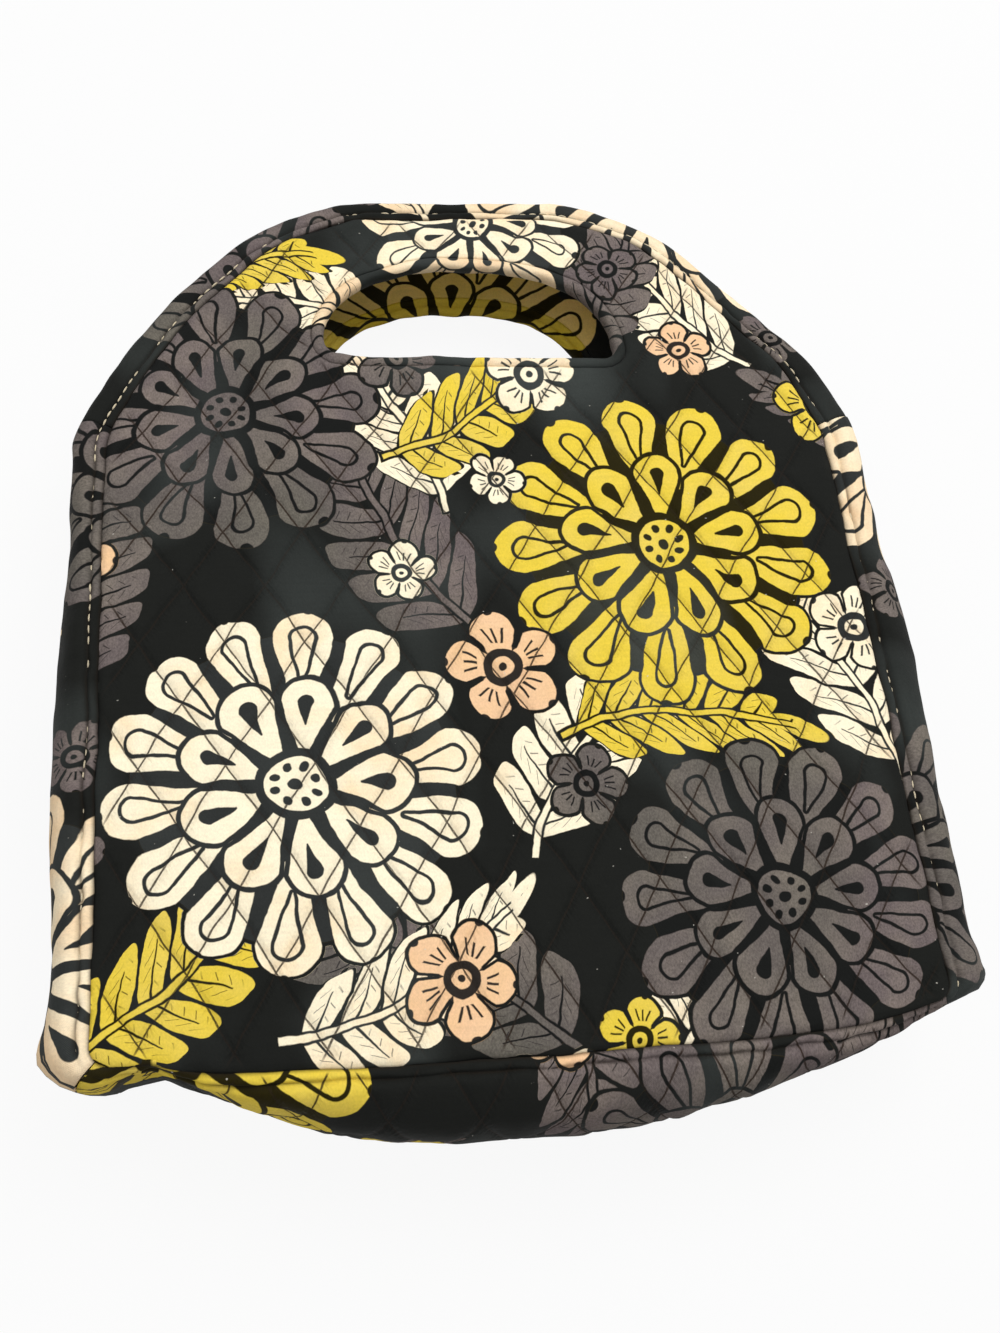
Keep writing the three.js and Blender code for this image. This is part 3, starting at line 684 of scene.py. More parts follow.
def print_on_cloth(u, v):
    """The print's colour at a place on the cloth, how much is inked, the paint's number and the ground."""
    sway = lambda a, b: ((a * 0.21 + b * 0.13).math("SINE") + (a * 0.11 - b * 0.29 + 2).math("SINE")) * 0.35
    bleed, bleed2 = clouds(u, v, 1 / 6, 3, 2.7)
    u, v = u + sway(u, v) + (bleed - 0.5) * 1.3, v + sway(v + 50, u) + (bleed2 - 0.5) * 1.3
    ink, paint, ground = 0.0, float(BARE), float(BARE)
    for kind, (motifs, slots, parts) in KINDS.items():
        count = len(motifs[0]) - 4
        for slot in range(slots):
            x, y, turn, *form = [n for part in parts for n in attribute(u.tree, f"{kind}{slot}_{part}")]
            silhouette, inked = use(MOTIFS[kind], u - x, v - y, turn, *form[:count])
            cover = inside(silhouette - HALO)
            ink = mixed(cover, ink, inside(inked), "FLOAT")
            paint = mixed(cover.math("GREATER_THAN", 0.5), paint, form[count], "FLOAT")
            within = mixed(inside(silhouette), float(BARE), form[count], "FLOAT")
            ground = mixed(cover.math("GREATER_THAN", 0.5), ground, within, "FLOAT")
    return chosen(paint, PAINTS), ink, paint, chosen(ground, GROUNDS)


def chosen(index, colours):
    """The colour at a place in a list."""
    ramp = index.tree.nodes.new("ShaderNodeValToRGB")
    ramp.color_ramp.interpolation = "CONSTANT"
    while len(ramp.color_ramp.elements) < len(colours):
        ramp.color_ramp.elements.new(0.5)
    for k, (element, colour) in enumerate(zip(ramp.color_ramp.elements, colours)):
        element.position = max(0.0, (k - 0.5) / len(colours))
        element.color = colour
    return Wire(feed(ramp, [index * (1 / len(colours))])[0])


motif_outputs = {"Silhouette": "Float", "Inked": "Float"}
MOTIFS = {
    "spray": group("leaf_spray", ["X", "Y", "Turn", "Long", "Leaf", "Bend", "Pitch"], motif_outputs, spray),
    "daisy": group("daisy", ["X", "Y", "Turn", "Radius", "Count"], motif_outputs, daisy),
    "blossom": group("blossom", ["X", "Y", "Turn", "Radius"], motif_outputs, blossom),
}


def noise_node(u, v, scale, detail, seed=0.0, stretch=1.0):
    """Noise over the cloth, with features about 1 / scale mm wide."""
    join = u.tree.nodes.new("ShaderNodeCombineXYZ")
    place = Wire(feed(join, [u * scale, v * (scale * stretch), float(seed)])[0])
    node = u.tree.nodes.new("ShaderNodeTexNoise")
    return feed(node, {"Vector": place, "Scale": 1.0, "Detail": detail})


def cloud(*where):
    """Noise from 0 to 1."""
    return Wire(noise_node(*where)["Fac"])


def clouds(*where):
    """Two such noises that differ."""
    return split(noise_node(*where)["Color"])[:2]


print_outputs = {"Colour": "Color", "Ink": "Float", "Paint": "Float", "Ground": "Color"}
print_group = group("flower_print", ["U", "V"], print_outputs, print_on_cloth)


def ramp(value, start, end):
    """0 at start, 1 at end, and clamped outside them."""
    return clamp((value - start) * (1 / (end - start)))


def new_material(name):
    material = bpy.data.materials.new(name)
    material.use_nodes = True
    return material, material.node_tree, material.node_tree.nodes["Principled BSDF"]


def bump(height, distance):
    """The direction of a surface with relief, from a height and how many mm it is worth."""
    node = height.tree.nodes.new("ShaderNodeBump")
    return Wire(feed(node, {"Strength": 1.0, "Distance": distance * MM, "Height": height})[0])


def scaled(colour, factor):
    node = colour.tree.nodes.new("ShaderNodeVectorMath")
    node.operation = "SCALE"
    return Wire(feed(node, {0: colour, "Scale": factor})[0])


THREAD_PITCH = 0.46


def weave_of(u, v):
    """Height of a plain weave from 0 to 1."""
    k = 2 * math.pi / THREAD_PITCH
    return (u * k).math("SINE") * (v * k).math("SINE") * 0.5 + 0.5


def quilting_lines(tree):
    """Thread mark, nearness to the lines, which gives painted shade in their grooves and sinks the relief,
    and pucker height, of the quilting lines.
    """
    a, b, amount = attribute(tree, "quilt")
    marks = []
    for line, other in ((a, b), (b, a)):
        distance = size((line + 0.5).math("FRACT") - 0.5) * LINE_STEP
        pucker, wander = clouds(line * LINE_STEP, other * LINE_STEP, 1 / 2.6, 1, 4.1 + len(marks), 3.0)
        near = 1.0 - ramp(distance, 0.1, 1.6)
        pucker = (pucker - 0.5) * (1.0 - ramp(distance, 0.4, 4.0))
        mark = ramp(distance + (wander - 0.5) * 0.34, 0.4, 0.18) * (wander * 0.8 + 0.62)
        marks.append((mark, near, pucker))
    (mark, near, pucker), (mark2, near2, pucker2) = marks
    return clamp(high(mark, mark2)) * amount, high(near, near2) * amount, (pucker + pucker2) * amount


# How the inked cloth is warmed by stains and by painted warm light: where the stains begin and are full,
# their share, the least share everywhere, and their colour. The least share on printed_cloth is painted warm
# light on the edge bands, side gussets and lips. On facing_cloth the stronger tint is painted warm bounce
# light on the facings seen inside the hand hole.
STAINS_AND_WARM_LIGHT = {
    "quilted_cloth": (0.5, 0.7, 0.4, 0.0, "#e9bf85"),
    "printed_cloth": (0.35, 0.65, 0.6, 0.2, "#e2be92"),
    "facing_cloth": (0.35, 0.65, 0.45, 0.35, "#ffdc93"),
}


def printed_cloth(name, quilted=False):
    """Printed cotton: the print, its wear and stains, painted sheen on the black ground, painted warm light
    on the inked colours, painted shade in seam creases, the weave and, where quilted, the quilting thread
    with painted shade beside it.
    """
    material, tree, shader = new_material(name)
    u, v, _ = attribute(tree, "cloth")
    colour, ink, paint, ground = use(print_group, u, v)
    pale = clamp(size(paint - 1.5) * 2.0 - 2.0)
    taupe = clamp(1.0 - size(paint - float(TAUPE)) * 2.0) * ink
    haze, haze2 = clouds(u, v, 1 / 62, 2, 1.7, 0.6)
    mottle, stain = clouds(u, v, 1 / 19, 4, 5.1)
    # Painted sheen on the black ground, in patches where the haze noise is high
    ground = mixed(ramp(haze, 0.48, 0.74) * 0.8, ground, GROUND_SHEEN)
    worn = mixed(ramp(mottle, 0.42, 0.72) * 0.12, colour, linear("#d8c9ab"))
    worn = mixed(ramp(haze2, 0.42, 0.62) * taupe * 0.6, worn, linear("#57574c"))
    start, end, most, least, warm_tint = STAINS_AND_WARM_LIGHT[name]
    takes_it = 1.0 - taupe if name == "facing_cloth" else pale
    # Stains and painted warm light: the pale paints, and on facings all but taupe, turn toward the warm tint
    warm = mixed((ramp(stain, start, end) * most + least) * takes_it, worn, linear(warm_tint))
    base = mixed(ink, ground, warm)
    weave = weave_of(u, v)
    grain, slub = clouds(u, v, 1 / 0.5, 2, 3.3, 0.7)
    speckle = (grain - 0.5) * (taupe * 0.85 + 0.32) + (weave - 0.5) * (taupe * 0.3 + 0.1)
    shade = speckle + (cloud(u, v, 1 / 14, 1, 7.7, 16.0) - 0.5) * 0.13 + 1.0
    height = weave * 0.2 + grain * 0.2 + slub * 0.1 + cloud(u, v, 1 / 3.4, 3, 6.6) * 0.9
    if quilted:
        mark, near, pucker = quilting_lines(tree)
        # Painted shade in the grooves beside the quilting lines; the same nearness sinks the relief
        shade = shade - near * 0.09
        height = height - near * 1.0 + pucker * 1.7
    base = scaled(base, shade)
    if quilted:
        base = mixed(mark * (ink * 0.62 + 0.3), base, linear("#2a2019"))
    # Painted shade in seam creases: darker toward a deep brown by the crease attribute
    base = mixed(attribute(tree, "crease")[0] * 0.75, base, linear("#1d1812"))
    lint = ramp(cloud(u, v, 1 / 1.1, 0, 12.5), 0.895, 0.93)
    looks = {
        "Base Color": mixed(lint * 0.6, base, linear("#c9c5ba")),
        "Roughness": mixed(ink, 0.76, 0.9, "FLOAT"),
        "Specular IOR Level": 0.06,
        "Sheen Weight": 0.015,
        "Sheen Roughness": 0.4,
        "Normal": bump(height, 0.34),
    }
    feed(shader, looks)
    return material


def plain_material(name, code, roughness, grain, shade, relief, metallic=0.0, specular=0.5):
    """One colour with variation in tone, roughness and height, the fine kind grain mm wide."""
    material, tree, shader = new_material(name)
    geometry = tree.nodes.new("ShaderNodeNewGeometry")
    x, y, z = (n * 1000 for n in split(geometry.outputs["Position"]))
    fine = cloud(x + z * 0.37, y - z * 0.61, 1 / grain, 3, 2.2)
    broad = cloud(x - z * 0.5, y + z * 0.3, 1 / 17, 2, 4.4)
    dark, light = ([min(1.0, c * (1 + k)) for c in linear(code)[:3]] + [1] for k in (-shade, shade))
    looks = {
        "Base Color": mixed(ramp(fine * 0.6 + broad * 0.4, 0.3, 0.7), dark, light),
        "Roughness": mixed(broad, roughness - 0.06, roughness + 0.06, "FLOAT"),
        "Metallic": metallic,
        "Specular IOR Level": specular,
        "Normal": bump(fine, relief),
    }
    feed(shader, looks)
    return material


quilted_cloth = printed_cloth("quilted_cloth", quilted=True)
printed = printed_cloth("printed_cloth")
facing_print = printed_cloth("facing_cloth")
lining_cloth = plain_material("lining", "#a5a7a8", 0.42, 3, 0.08, 0.25)
foam = plain_material("foam", "#eceae2", 0.9, 0.8, 0.05, 0.3, specular=0.2)
tape_cloth = plain_material("zip_tape", "#232324", 0.85, 0.5, 0.3, 0.12, specular=0.2)
teeth_plastic = plain_material("zip_teeth", "#1c1c1d", 0.4, 4, 0.12, 0.02)
zip_metal = plain_material("zip_metal", "#c3c3c1", 0.28, 2, 0.06, 0.02, metallic=1.0)
thread = plain_material("thread", "#c2b59a", 0.7, 0.35, 0.3, 0.1, specular=0.2)
dark_thread = plain_material("dark_thread", "#3a332c", 0.7, 0.35, 0.25, 0.1, specular=0.2)


# Panels


def ring_edges(count, start=0):
    index = np.arange(count) + start
    return np.stack([index, np.roll(index, -1)], 1)


def triangulate(points, edges, kind, merge):
    """Triangles that keep the given edges, with the points they use."""
    made = delaunay_2d_cdt([Vector(p) for p in points], edges.tolist(), [], kind, merge)
    return np.array([tuple(v) for v in made[0]]), np.array([f for f in made[2] if len(f) == 3])


def panel_mesh(step, edge, hole, rings=()):
    """Points and triangles between a closed edge and a hole. rings are distances inwards of more rows."""

    def keep(points, margin):
        (d_edge, in_edge), (d_hole, in_hole) = (distance_to(loop, points) for loop in (edge, hole))
        return in_edge & ~in_hole & (d_edge > margin) & (d_hole > margin)

    points, edges = [], []
    for loop, inward in ((edge, -1), (hole, 1)):
        edges.append(ring_edges(len(loop), sum(len(p) for p in points)))
        points += [loop] + [loop + loop_normals(loop) * inward * distance for distance in rings]
    ys = np.arange(0, PANEL_HEIGHT, step * math.sqrt(3) / 2)
    x, y = np.meshgrid(np.arange(-PANEL_WIDTH / 2, PANEL_WIDTH / 2, step), ys)
    x = x + (np.arange(len(ys)) % 2)[:, None] * step / 2
    grid = np.stack([x.ravel(), y.ravel()], 1)
    points.append(grid[keep(grid, max((0, *rings)) + step * 0.6)])
    flat, faces = triangulate(np.concatenate(points), np.concatenate(edges), 0, 1e-5)
    faces = faces[keep(flat[faces].mean(1), 0.0)]
    used, faces = np.unique(faces, return_inverse=True)
    return flat[used], faces.reshape(-1, 3)


def region(inset, hole_margin):
    """The edge of a panel drawn in by inset, and its hole wider by hole_margin all round."""
    seam, hole = mirrored(Rim.points, 1.5), hole_loop(1.5)
    return seam - loop_normals(seam, 2) * inset, hole + loop_normals(hole, 2) * hole_margin


EDGE_RINGS = (0.7, 1.5, 2.6, 4.0)
UNDERSIDE_STEP = 9.0


def pad(name, fine, outer, coarse, inner, material, cloth_shift, **marks):
    """A closed pad whose two faces are meshed apart but share their edges."""
    (flat, faces), (back_flat, back_faces) = fine, coarse
    n = len(flat)
    rim = border(faces)
    where = {tuple(p): k + n for k, p in enumerate(np.round(back_flat, 3).tolist())}
    match = [[where[tuple(p)] for p in np.round(flat[pair], 3).tolist()] for pair in rim]
    points = np.concatenate([np.column_stack([flat, outer]), np.column_stack([back_flat, inner])])
    lists = [faces, back_faces[:, ::-1] + n, np.hstack([rim[:, ::-1], match])]
    return make_object(name, points, lists, material, points[:, :2] + cloth_shift, **marks)


def quilted_panel(side, step, cloth_shift):
    """The front or back panel: crowned, quilted, and rolled over at its edges."""
    seam, hole = region(0.0, LIP + CUT_GAP)
    fine, coarse = panel_mesh(step, seam, hole, EDGE_RINGS), panel_mesh(UNDERSIDE_STEP, seam, hole)
    x, y = fine[0].T
    d_seam, d_hole = (distance_to(loop, fine[0])[0] for loop in (seam, hole))
    a, b = quilt_phase(x, y)
    fade = smoothstep(0.5, 5, d_seam) * smoothstep(0.2, 3.5, d_hole)
    drop = 1.5 * (1 - np.clip(d_seam / 3.2, 0, 1)) ** 2 + 0.7 * (1 - np.clip(d_hole / 2.0, 0, 1)) ** 2
    ripple = (0.45 * noise(x, y, 6.5, 8) + 0.3 * noise(x, y, 13, 9)) * np.exp(-d_seam / 6)
    relief = quilt_height(a, b) * fade - drop + ripple
    if side == "front":
        outer = front_face(y) + sag(x, y) * smoothstep(0, 25, d_seam) + relief
    else:
        outer = 0.05 - relief.clip(-1.4, 0)
    inner = at_depth(side, coarse[0][:, 1], QUILT)
    quilt = np.stack([a, b, fade], 1)
    piece = pad(f"{side}_panel_quilting", fine, outer, coarse, inner, quilted_cloth, cloth_shift, quilt=quilt)
    stands_for(f"{side}_panel")


def panel_foam(side):
    """The foam slab between a panel and its lining, slightly uneven."""
    edge, hole = region(1.2, LIP + 0.6)
    fine, coarse = panel_mesh(6.0, edge, hole, (1.5,)), panel_mesh(UNDERSIDE_STEP, edge, hole)
    x, y = fine[0].T
    outer = at_depth(side, y, FOAM_DEPTH - 0.12 * noise(x, y, 24, 18))
    inner = at_depth(side, coarse[0][:, 1], FOAM_DEPTH + FOAM_THICK)
    piece = pad(f"{side}_foam_slab", fine, outer, coarse, inner, foam, (0, 0))
    stands_for(f"{side}_foam")


FRONT_CLOTH = (0.0, 0.0)
BACK_CLOTH = (137.0, 61.0)
FRONT_FACING_CLOTH = (-90.0, 120.0)
BACK_FACING_CLOTH = (58.0, -94.0)

quilted_panel("front", 1.45, FRONT_CLOTH)
quilted_panel("back", 2.4, BACK_CLOTH)
panel_foam("front")
panel_foam("back")


def facing(side, cloth_shift):
    """Inner cloth of a handle flap, with soft wrinkles."""
    low_y = ZIP_Y + CUT_GAP
    seam, hole = region(LINING_INSET, LIP + CUT_GAP)
    above = seam[seam[:, 1] > low_y]
    ends = np.array([[above[-1, 0], low_y], [above[0, 0], low_y]])
    loop = np.concatenate([ends[1:], above, ends[:1], resample(ends, 1.5)[1:-1]])
    flat, faces = panel_mesh(3.0, loop, hole)
    x, y = flat.T
    fade = smoothstep(0, 12, distance_to(loop, flat)[0]) * smoothstep(0, 8, distance_to(hole, flat)[0])
    depth = LINING_DEPTH + 0.1 + (0.8 * noise(x, y, 31, 12) + 0.35 * noise(x, y, 11, 13)) * fade
    upper, lower = (np.column_stack([flat, at_depth(side, y, d)]) for d in (depth, depth + CLOTH_THICK))
    piece = shell(f"{side}_facing_cloth", lower, upper, faces, facing_print, flat + cloth_shift)
    stands_for(f"{side}_facing")


facing("front", FRONT_FACING_CLOTH)
facing("back", BACK_FACING_CLOTH)


def lining_panel(side):
    """Flat lining behind a panel, below the zip."""
    share = np.linspace(-1, 1, 60)
    seam = mirrored(Rim.points, 1.0)
    right = seam[(seam[:, 0] > 60) & (seam[:, 1] < ZIP_Y + 6)]
    right = right[np.argsort(right[:, 1])]
    y, x = np.meshgrid(np.linspace(0.1, ZIP_Y - 0.2, 60), share, indexing="ij")
    x = x * (np.interp(y, right[:, 1], right[:, 0]) - 0.1)
    wave = (0.7 * noise(x, y, 40, 15) + 0.4 * noise(x, y, 15, 16)) * (1 - np.abs(share) ** 6)
    depth = LINING_DEPTH + 0.15 + 0.6 * wave
    heights = (at_depth(side, y, d) for d in (depth + CLOTH_THICK, depth))
    outer, inner = (np.stack([x, y, z], 2).reshape(-1, 3) for z in heights)
    piece = shell(f"{side}_lining_cloth", outer, inner, grid_faces(60, 60), lining_cloth, outer[:, :2])
    stands_for(f"{side}_lining")


lining_panel("front")
lining_panel("back")


# Section of a hand hole's rolled edge: distance outwards from the opening, and depth under the panel's face
LIP_ACROSS = np.array(
    [3.95, 3.5, 2.9, 2.1, 1.3, 0.65, 0.2, 0.0, 0.1, 0.4, 0.9, 1.5, 2.0, 2.35, 2.7, 3.2, 3.95]
)
LIP_DEPTH = np.array(
    [0.9, 0.35, -0.1, -0.35, -0.2, 0.35, 1.2, 2.4, 3.6, 4.5, 5.1, 5.3, 5.1, 4.8, 5.6, 6.7, 7.5]
)


def hole_lip(side, cloth_shift):
    """The rolled edge of a hand hole: panel and facing turned in and topstitched."""
    loop = hole_loop(1.1)
    normal = loop_normals(loop)
    turned = distances(np.stack([LIP_ACROSS, LIP_DEPTH], 1))
    wave = 0.3 * noise(*loop.T, 5.5, 21) + 0.25 * noise(*loop.T, 17, 22)
    puff = wave[:, None] * np.sin(np.linspace(0, np.pi, len(LIP_ACROSS)))
    xy = loop[:, None, :] + normal[:, None, :] * (LIP_ACROSS - puff)[..., None]
    x, y = xy[..., 0], xy[..., 1]
    depth = LIP_DEPTH - 0.6 * puff
    if side == "front":
        z = front_face(y) + sag(x, y) * np.linspace(1, 0, len(LIP_ACROSS)) - depth
    else:
        z = np.clip(depth, 0.15, None)
        turned = turned[-1] - turned
    points = np.stack([x, y, z], 2).reshape(-1, 3)
    faces = grid_faces(len(loop), len(LIP_ACROSS), closed_rows=True, closed_cols=True)
    start = loop + normal * LIP_ACROSS[0]
    cloth = (start[:, None, :] - normal[:, None, :] * turned[None, :, None]).reshape(-1, 2) + cloth_shift
    piece = make_object(f"{side}_hole_binding_cloth", points, [faces], printed, cloth)
    stands_for(f"{side}_hole_binding")


hole_lip("front", FRONT_CLOTH)
hole_lip("back", BACK_FACING_CLOTH)


# Gusset and edge bands

SEAM_DROP = {"front": 1.3, "back": 0.6}  # how far under a panel's face its seam lies
CORNER_PLACE = (CORNER_START + CORNER_END) / 2
past_corner = Rim.along > PANEL_WIDTH / 2
TOP_PLACE = float(np.interp(GUSSET_TOP, Rim.points[past_corner, 1], Rim.along[past_corner]))
TUCK = -2.4
SEAM_ROWS = np.array([0, 0.4, 0.9, 1.4, 1.9, 2.4, 2.8, 3.1, 3.4, 3.8, 4.3, 5.0, 5.9, 7.0])
INNER_INSET = 4.4
GUSSET_STEP, INNER_STEP = 1.4, 4.0


def bow(place, squareness):
    """A squared arch: 1 in the middle, 0 at places -1 and 1 and beyond them."""
    return np.sqrt(np.clip(1 - np.abs(place) ** squareness, 0, 1))


def hump(depth, bulge):
    """How far an edge band stands out, at a depth under its panel's face."""
    return bulge * bow(2 * depth / BAND_HEIGHT - 1, BAND_SQUARENESS)


def gusset_curve(y, bulge, inner=False):
    """Section of the gusset at one station as distances out and heights, from the front seam to the back.
    Its outer layer turns into two humps near the mouth, its inner ones lie tucked in there."""
    top, bottom = float(front_face(y)) - SEAM_DROP["front"], SEAM_DROP["back"]
    across = np.cos(np.linspace(0, np.pi, 161))
    z = (top + bottom) / 2 + (top - bottom) / 2 * across
    full = bulge * bow(across, GUSSET_SQUARENESS)
    banded = TUCK
    if not inner:
        depth = np.minimum(top - z, z - bottom)
        banded = hump(depth, bulge)
        banded += (TUCK - banded) * smoothstep(BAND_HEIGHT * 0.8, BAND_HEIGHT + 5, depth)
    return full + (banded - full) * smoothstep(*BANDED, y), z


def spaced_curve(out, z, middle):
    """A curve at SEAM_ROWS from both ends and even distances between, its direction, and the distances."""
    along = distances(np.stack([out, z], 1))
    first, last = SEAM_ROWS, along[-1] - SEAM_ROWS[::-1]
    where = np.concatenate([first, np.linspace(first[-1], last[0], middle + 2)[1:-1], last])
    curve = np.stack([np.interp(where, along, out), np.interp(where, along, z)], 1)
    return curve.T, unit(np.gradient(curve, where, axis=0)).T, where, along[-1]


def seam_wander(along, distance):
    """Distance from the seam, as its stitching sees it."""
    return distance - 0.35 * noise(along, 0.5 + 0 * along, 7.0, 51)


def seam_relief(along, distance):
    """Turned seam, topstitching and puffed edge beside it, by place along the seam and distance from it."""
    wander = seam_wander(along, distance)
    ridge = np.sin(np.pi * np.clip(wander / 2.9, 0, 1)) ** 1.2
    ridge = ridge * (0.85 + 0.55 * noise(along, distance * 0.2, 4.3, 52))
    puff = 0.5 * smoothstep(3.6, 6.0, wander) * smoothstep(14, 7, wander)
    pucker = noise(along, distance * 0.35, 4.2, 53) + 0.6 * noise(along, distance * 0.25, 8.5, 54)
    pucker = 0.6 * pucker * np.exp(-np.abs(distance - TOPSTITCH) / 3.0) * smoothstep(0.2, 1.5, distance)
    return 0.85 * ridge - bell(wander - TOPSTITCH, 0.5) + puff + pucker


def seam_crease_shade(along, distance):
    """Painted shade in the crease at the topstitching and down at the seam itself: how much darker the cloth
    is there, 0 to 1.
    """
    line = bell(seam_wander(along, distance) - TOPSTITCH, 0.34)
    line = line * smoothstep(-0.5, 0.2, noise(along, 0 * along, 11, 55))
    return np.stack([np.maximum(line, bell(distance, 0.5)), 0 * line, 0 * line], 1)


def swept(name, s, section, material, cloth_at):
    """A closed sheet along places s on the rim. For each, section gives two lines of distances out and
    heights, the places along and across the cloth, and the marks."""
    stations = []
    for k, (x, y, nx, ny, bulge) in enumerate(zip(*Rim.at(s))):
        lines, along, where, marks = section(k, y, bulge)
        lines = [np.stack([x + nx * o, y + ny * o, np.maximum(z, TABLE_GAP)], 1) for o, z in lines]
        stations.append((*lines, np.stack([along, where], 1) + cloth_at, *marks.values()))
    outer, inner, cloth, *values = (np.concatenate(v) for v in zip(*stations))
    faces = grid_faces(len(s), len(outer) // len(s))
    return shell(name, outer, inner, faces, material, cloth, **dict(zip(marks, values)))


def gusset_piece(name, ends, offset, thick, material, cloth_at=(0, 0), inner=False):
    """A stretch of the gusset, or of the foam or lining inside it, between two places on the rim."""
    s = np.linspace(*ends, int(abs(ends[1] - ends[0]) / (INNER_STEP if inner else GUSSET_STEP)) + 1)
    quilted = material is quilted_cloth

    def section(k, y, bulge):
        (out, z), (slope_out, slope_z), where, total = spaced_curve(*gusset_curve(y, bulge, inner), 34)
        from_seam = np.minimum(where, total - where)
        along = np.full_like(where, s[k])
        marks = {"crease": seam_crease_shade(along, from_seam)}
        relief = 0 * where
        if not inner:
            wave = 1.1 * noise(along, where, 33, 31) + 0.6 * noise(along, where * 1.5, 14, 32)
            relief = seam_relief(along, from_seam) + smoothstep(5, 16, from_seam) * wave
        if quilted:
            a, b = quilt_phase(along + 9, where - 11)
            marks["quilt"] = np.stack([a, b, smoothstep(0.5, 2.0, from_seam)], 1)
            relief += quilt_height(a, b, 0.6) * smoothstep(3, 7, from_seam) + bottom_kink(s[k], where)
        relief = relief * smoothstep(0, 5, abs(abs(s[k]) - CORNER_PLACE))
        base = SHELL_OUT * smoothstep(0, 6, from_seam) + offset
        tilt = INNER_INSET * (1 - 2 * where / total) if inner else 0
        lines = []
        for level in (base + relief, base - thick):
            o = out - slope_z * level
            if CORNER_START < abs(s[k]) < CORNER_END:
                o = np.maximum(o, 0.4 - CORNER_RADIUS)  # not past the centre of the corner
            lines.append((o, z + slope_out * level - tilt))
        return lines, along, where, marks

    return swept(name, s, section, material, cloth_at)


def bottom_kink(s, where):
    """The fold near the left end of the bottom, where the cloth is pushed in."""
    fold = 1.2 * bell(s + 82, 7) - 3.2 * bell(s + 98, 9) - 1.5 * bell(s + 112, 12)
    return fold * smoothstep(3, 14, where) * smoothstep(60, 30, where)


SIDE_START = CORNER_PLACE + CUT_GAP
BOTTOM_END = CORNER_PLACE - CUT_GAP
STRETCHES = {
    "left": (-SIDE_START, -TOP_PLACE),
    "right": (SIDE_START, TOP_PLACE),
    "bottom": (-BOTTOM_END, BOTTOM_END),
}
gussets = (
    ("left", "left_gusset_cloth", printed, (84.0, 60.0)),
    ("right", "right_gusset_cloth", printed, (204.0, 54.0)),
    ("bottom", "bottom_gusset_quilting", quilted_cloth, (162.0, 168.0)),
)
for place, name, material, cloth_at in gussets:
    piece = gusset_piece(name, STRETCHES[place], 0.0, 1.7, material, cloth_at)
    stands_for(f"{place}_gusset")


def inner_gusset(node, ends, offset, thick, material):
    """The gusset's foam or lining, whose edges lie on the panels' own lining."""
    piece = gusset_piece(f"{node}_soft", ends, offset - SHELL_OUT, thick, material, inner=True)
    stands_for(node)
    return piece


for place, (start, end) in STRETCHES.items():
    low_end = end if place == "bottom" else end - math.copysign(3.0, end)  # the side foams end lower
    inner_gusset(f"{place}_gusset_foam", (start, low_end), -0.4, 2.8, foam)
    piece = inner_gusset(f"{place}_lining", (start, end), -3.6, 0.9, lining_cloth)
    flat = (0.076, 0.236) if place == "bottom" else (0.064, 0.203)


def band_section(side, bulge):
    """Section of an edge band as distances out and depths, from the panel's seam over the edge and back under
    to the facing."""
    depth = (1 - np.cos(np.linspace(0, np.pi, 121))) / 2 * BAND_HEIGHT
    swell = smoothstep(0, 4, depth * 3) * smoothstep(BAND_HEIGHT, BAND_HEIGHT - 1.5, depth)
    under = np.linspace(0, 1, 14)[1:]
    out = np.concatenate([hump(depth, bulge) + SHELL_OUT * swell, -2.6 * under])
    return out, SEAM_DROP[side] + np.concatenate([depth, BAND_HEIGHT - (BAND_HEIGHT - STACK - 0.2) * under])


def both_ways(half):
    """Places along the right half of the rim, and on along the left half."""
    return np.concatenate([half, -half[::-1]])


def edge_band(side, cloth_at):
    """The soft strip round the edges of a handle flap."""
    s = both_ways(np.arange(TOP_PLACE + 0.3, Rim.length, 1.5))
    run = np.where(s >= 0, s, 2 * Rim.length + s)

    def section(k, y, bulge):
        (out, depth), (slope_out, slope_depth), where, total = spaced_curve(*band_section(side, bulge), 16)
        along = np.full_like(where, run[k])
        wave = 0.4 * noise(along, where, 17, 41) + 0.25 * noise(along, where, 8, 42)
        relief = seam_relief(along, where) + smoothstep(5, 9, where) * wave
        lines = []
        for level in (relief * smoothstep(0, 3, total - where), -1.2):
            lines.append((out + slope_depth * level, at_depth(side, y, depth - slope_out * level)))
        return lines, along, where, {"crease": seam_crease_shade(along, where)}

    piece = swept(f"{side}_edge_band_cloth", s, section, printed, cloth_at)
    stands_for(f"{side}_edge_band")


edge_band("front", (102.0, 60.0))
edge_band("back", (150.0, 30.0))


# Topstitching


def tube(path, radius, sides):
    """Rings of points round a path."""
    tangent = unit(np.gradient(path, axis=0))
    side = unit(np.cross(tangent, [0, 0, 1.0]))
    lift = np.cross(side, tangent)
    turn = np.linspace(0, 2 * np.pi, sides, endpoint=False)[:, None]
    ring = np.cos(turn) * side[:, None, :] + np.sin(turn) * lift[:, None, :]
    return (path[:, None, :] + radius[:, None, None] * ring).reshape(-1, 3)


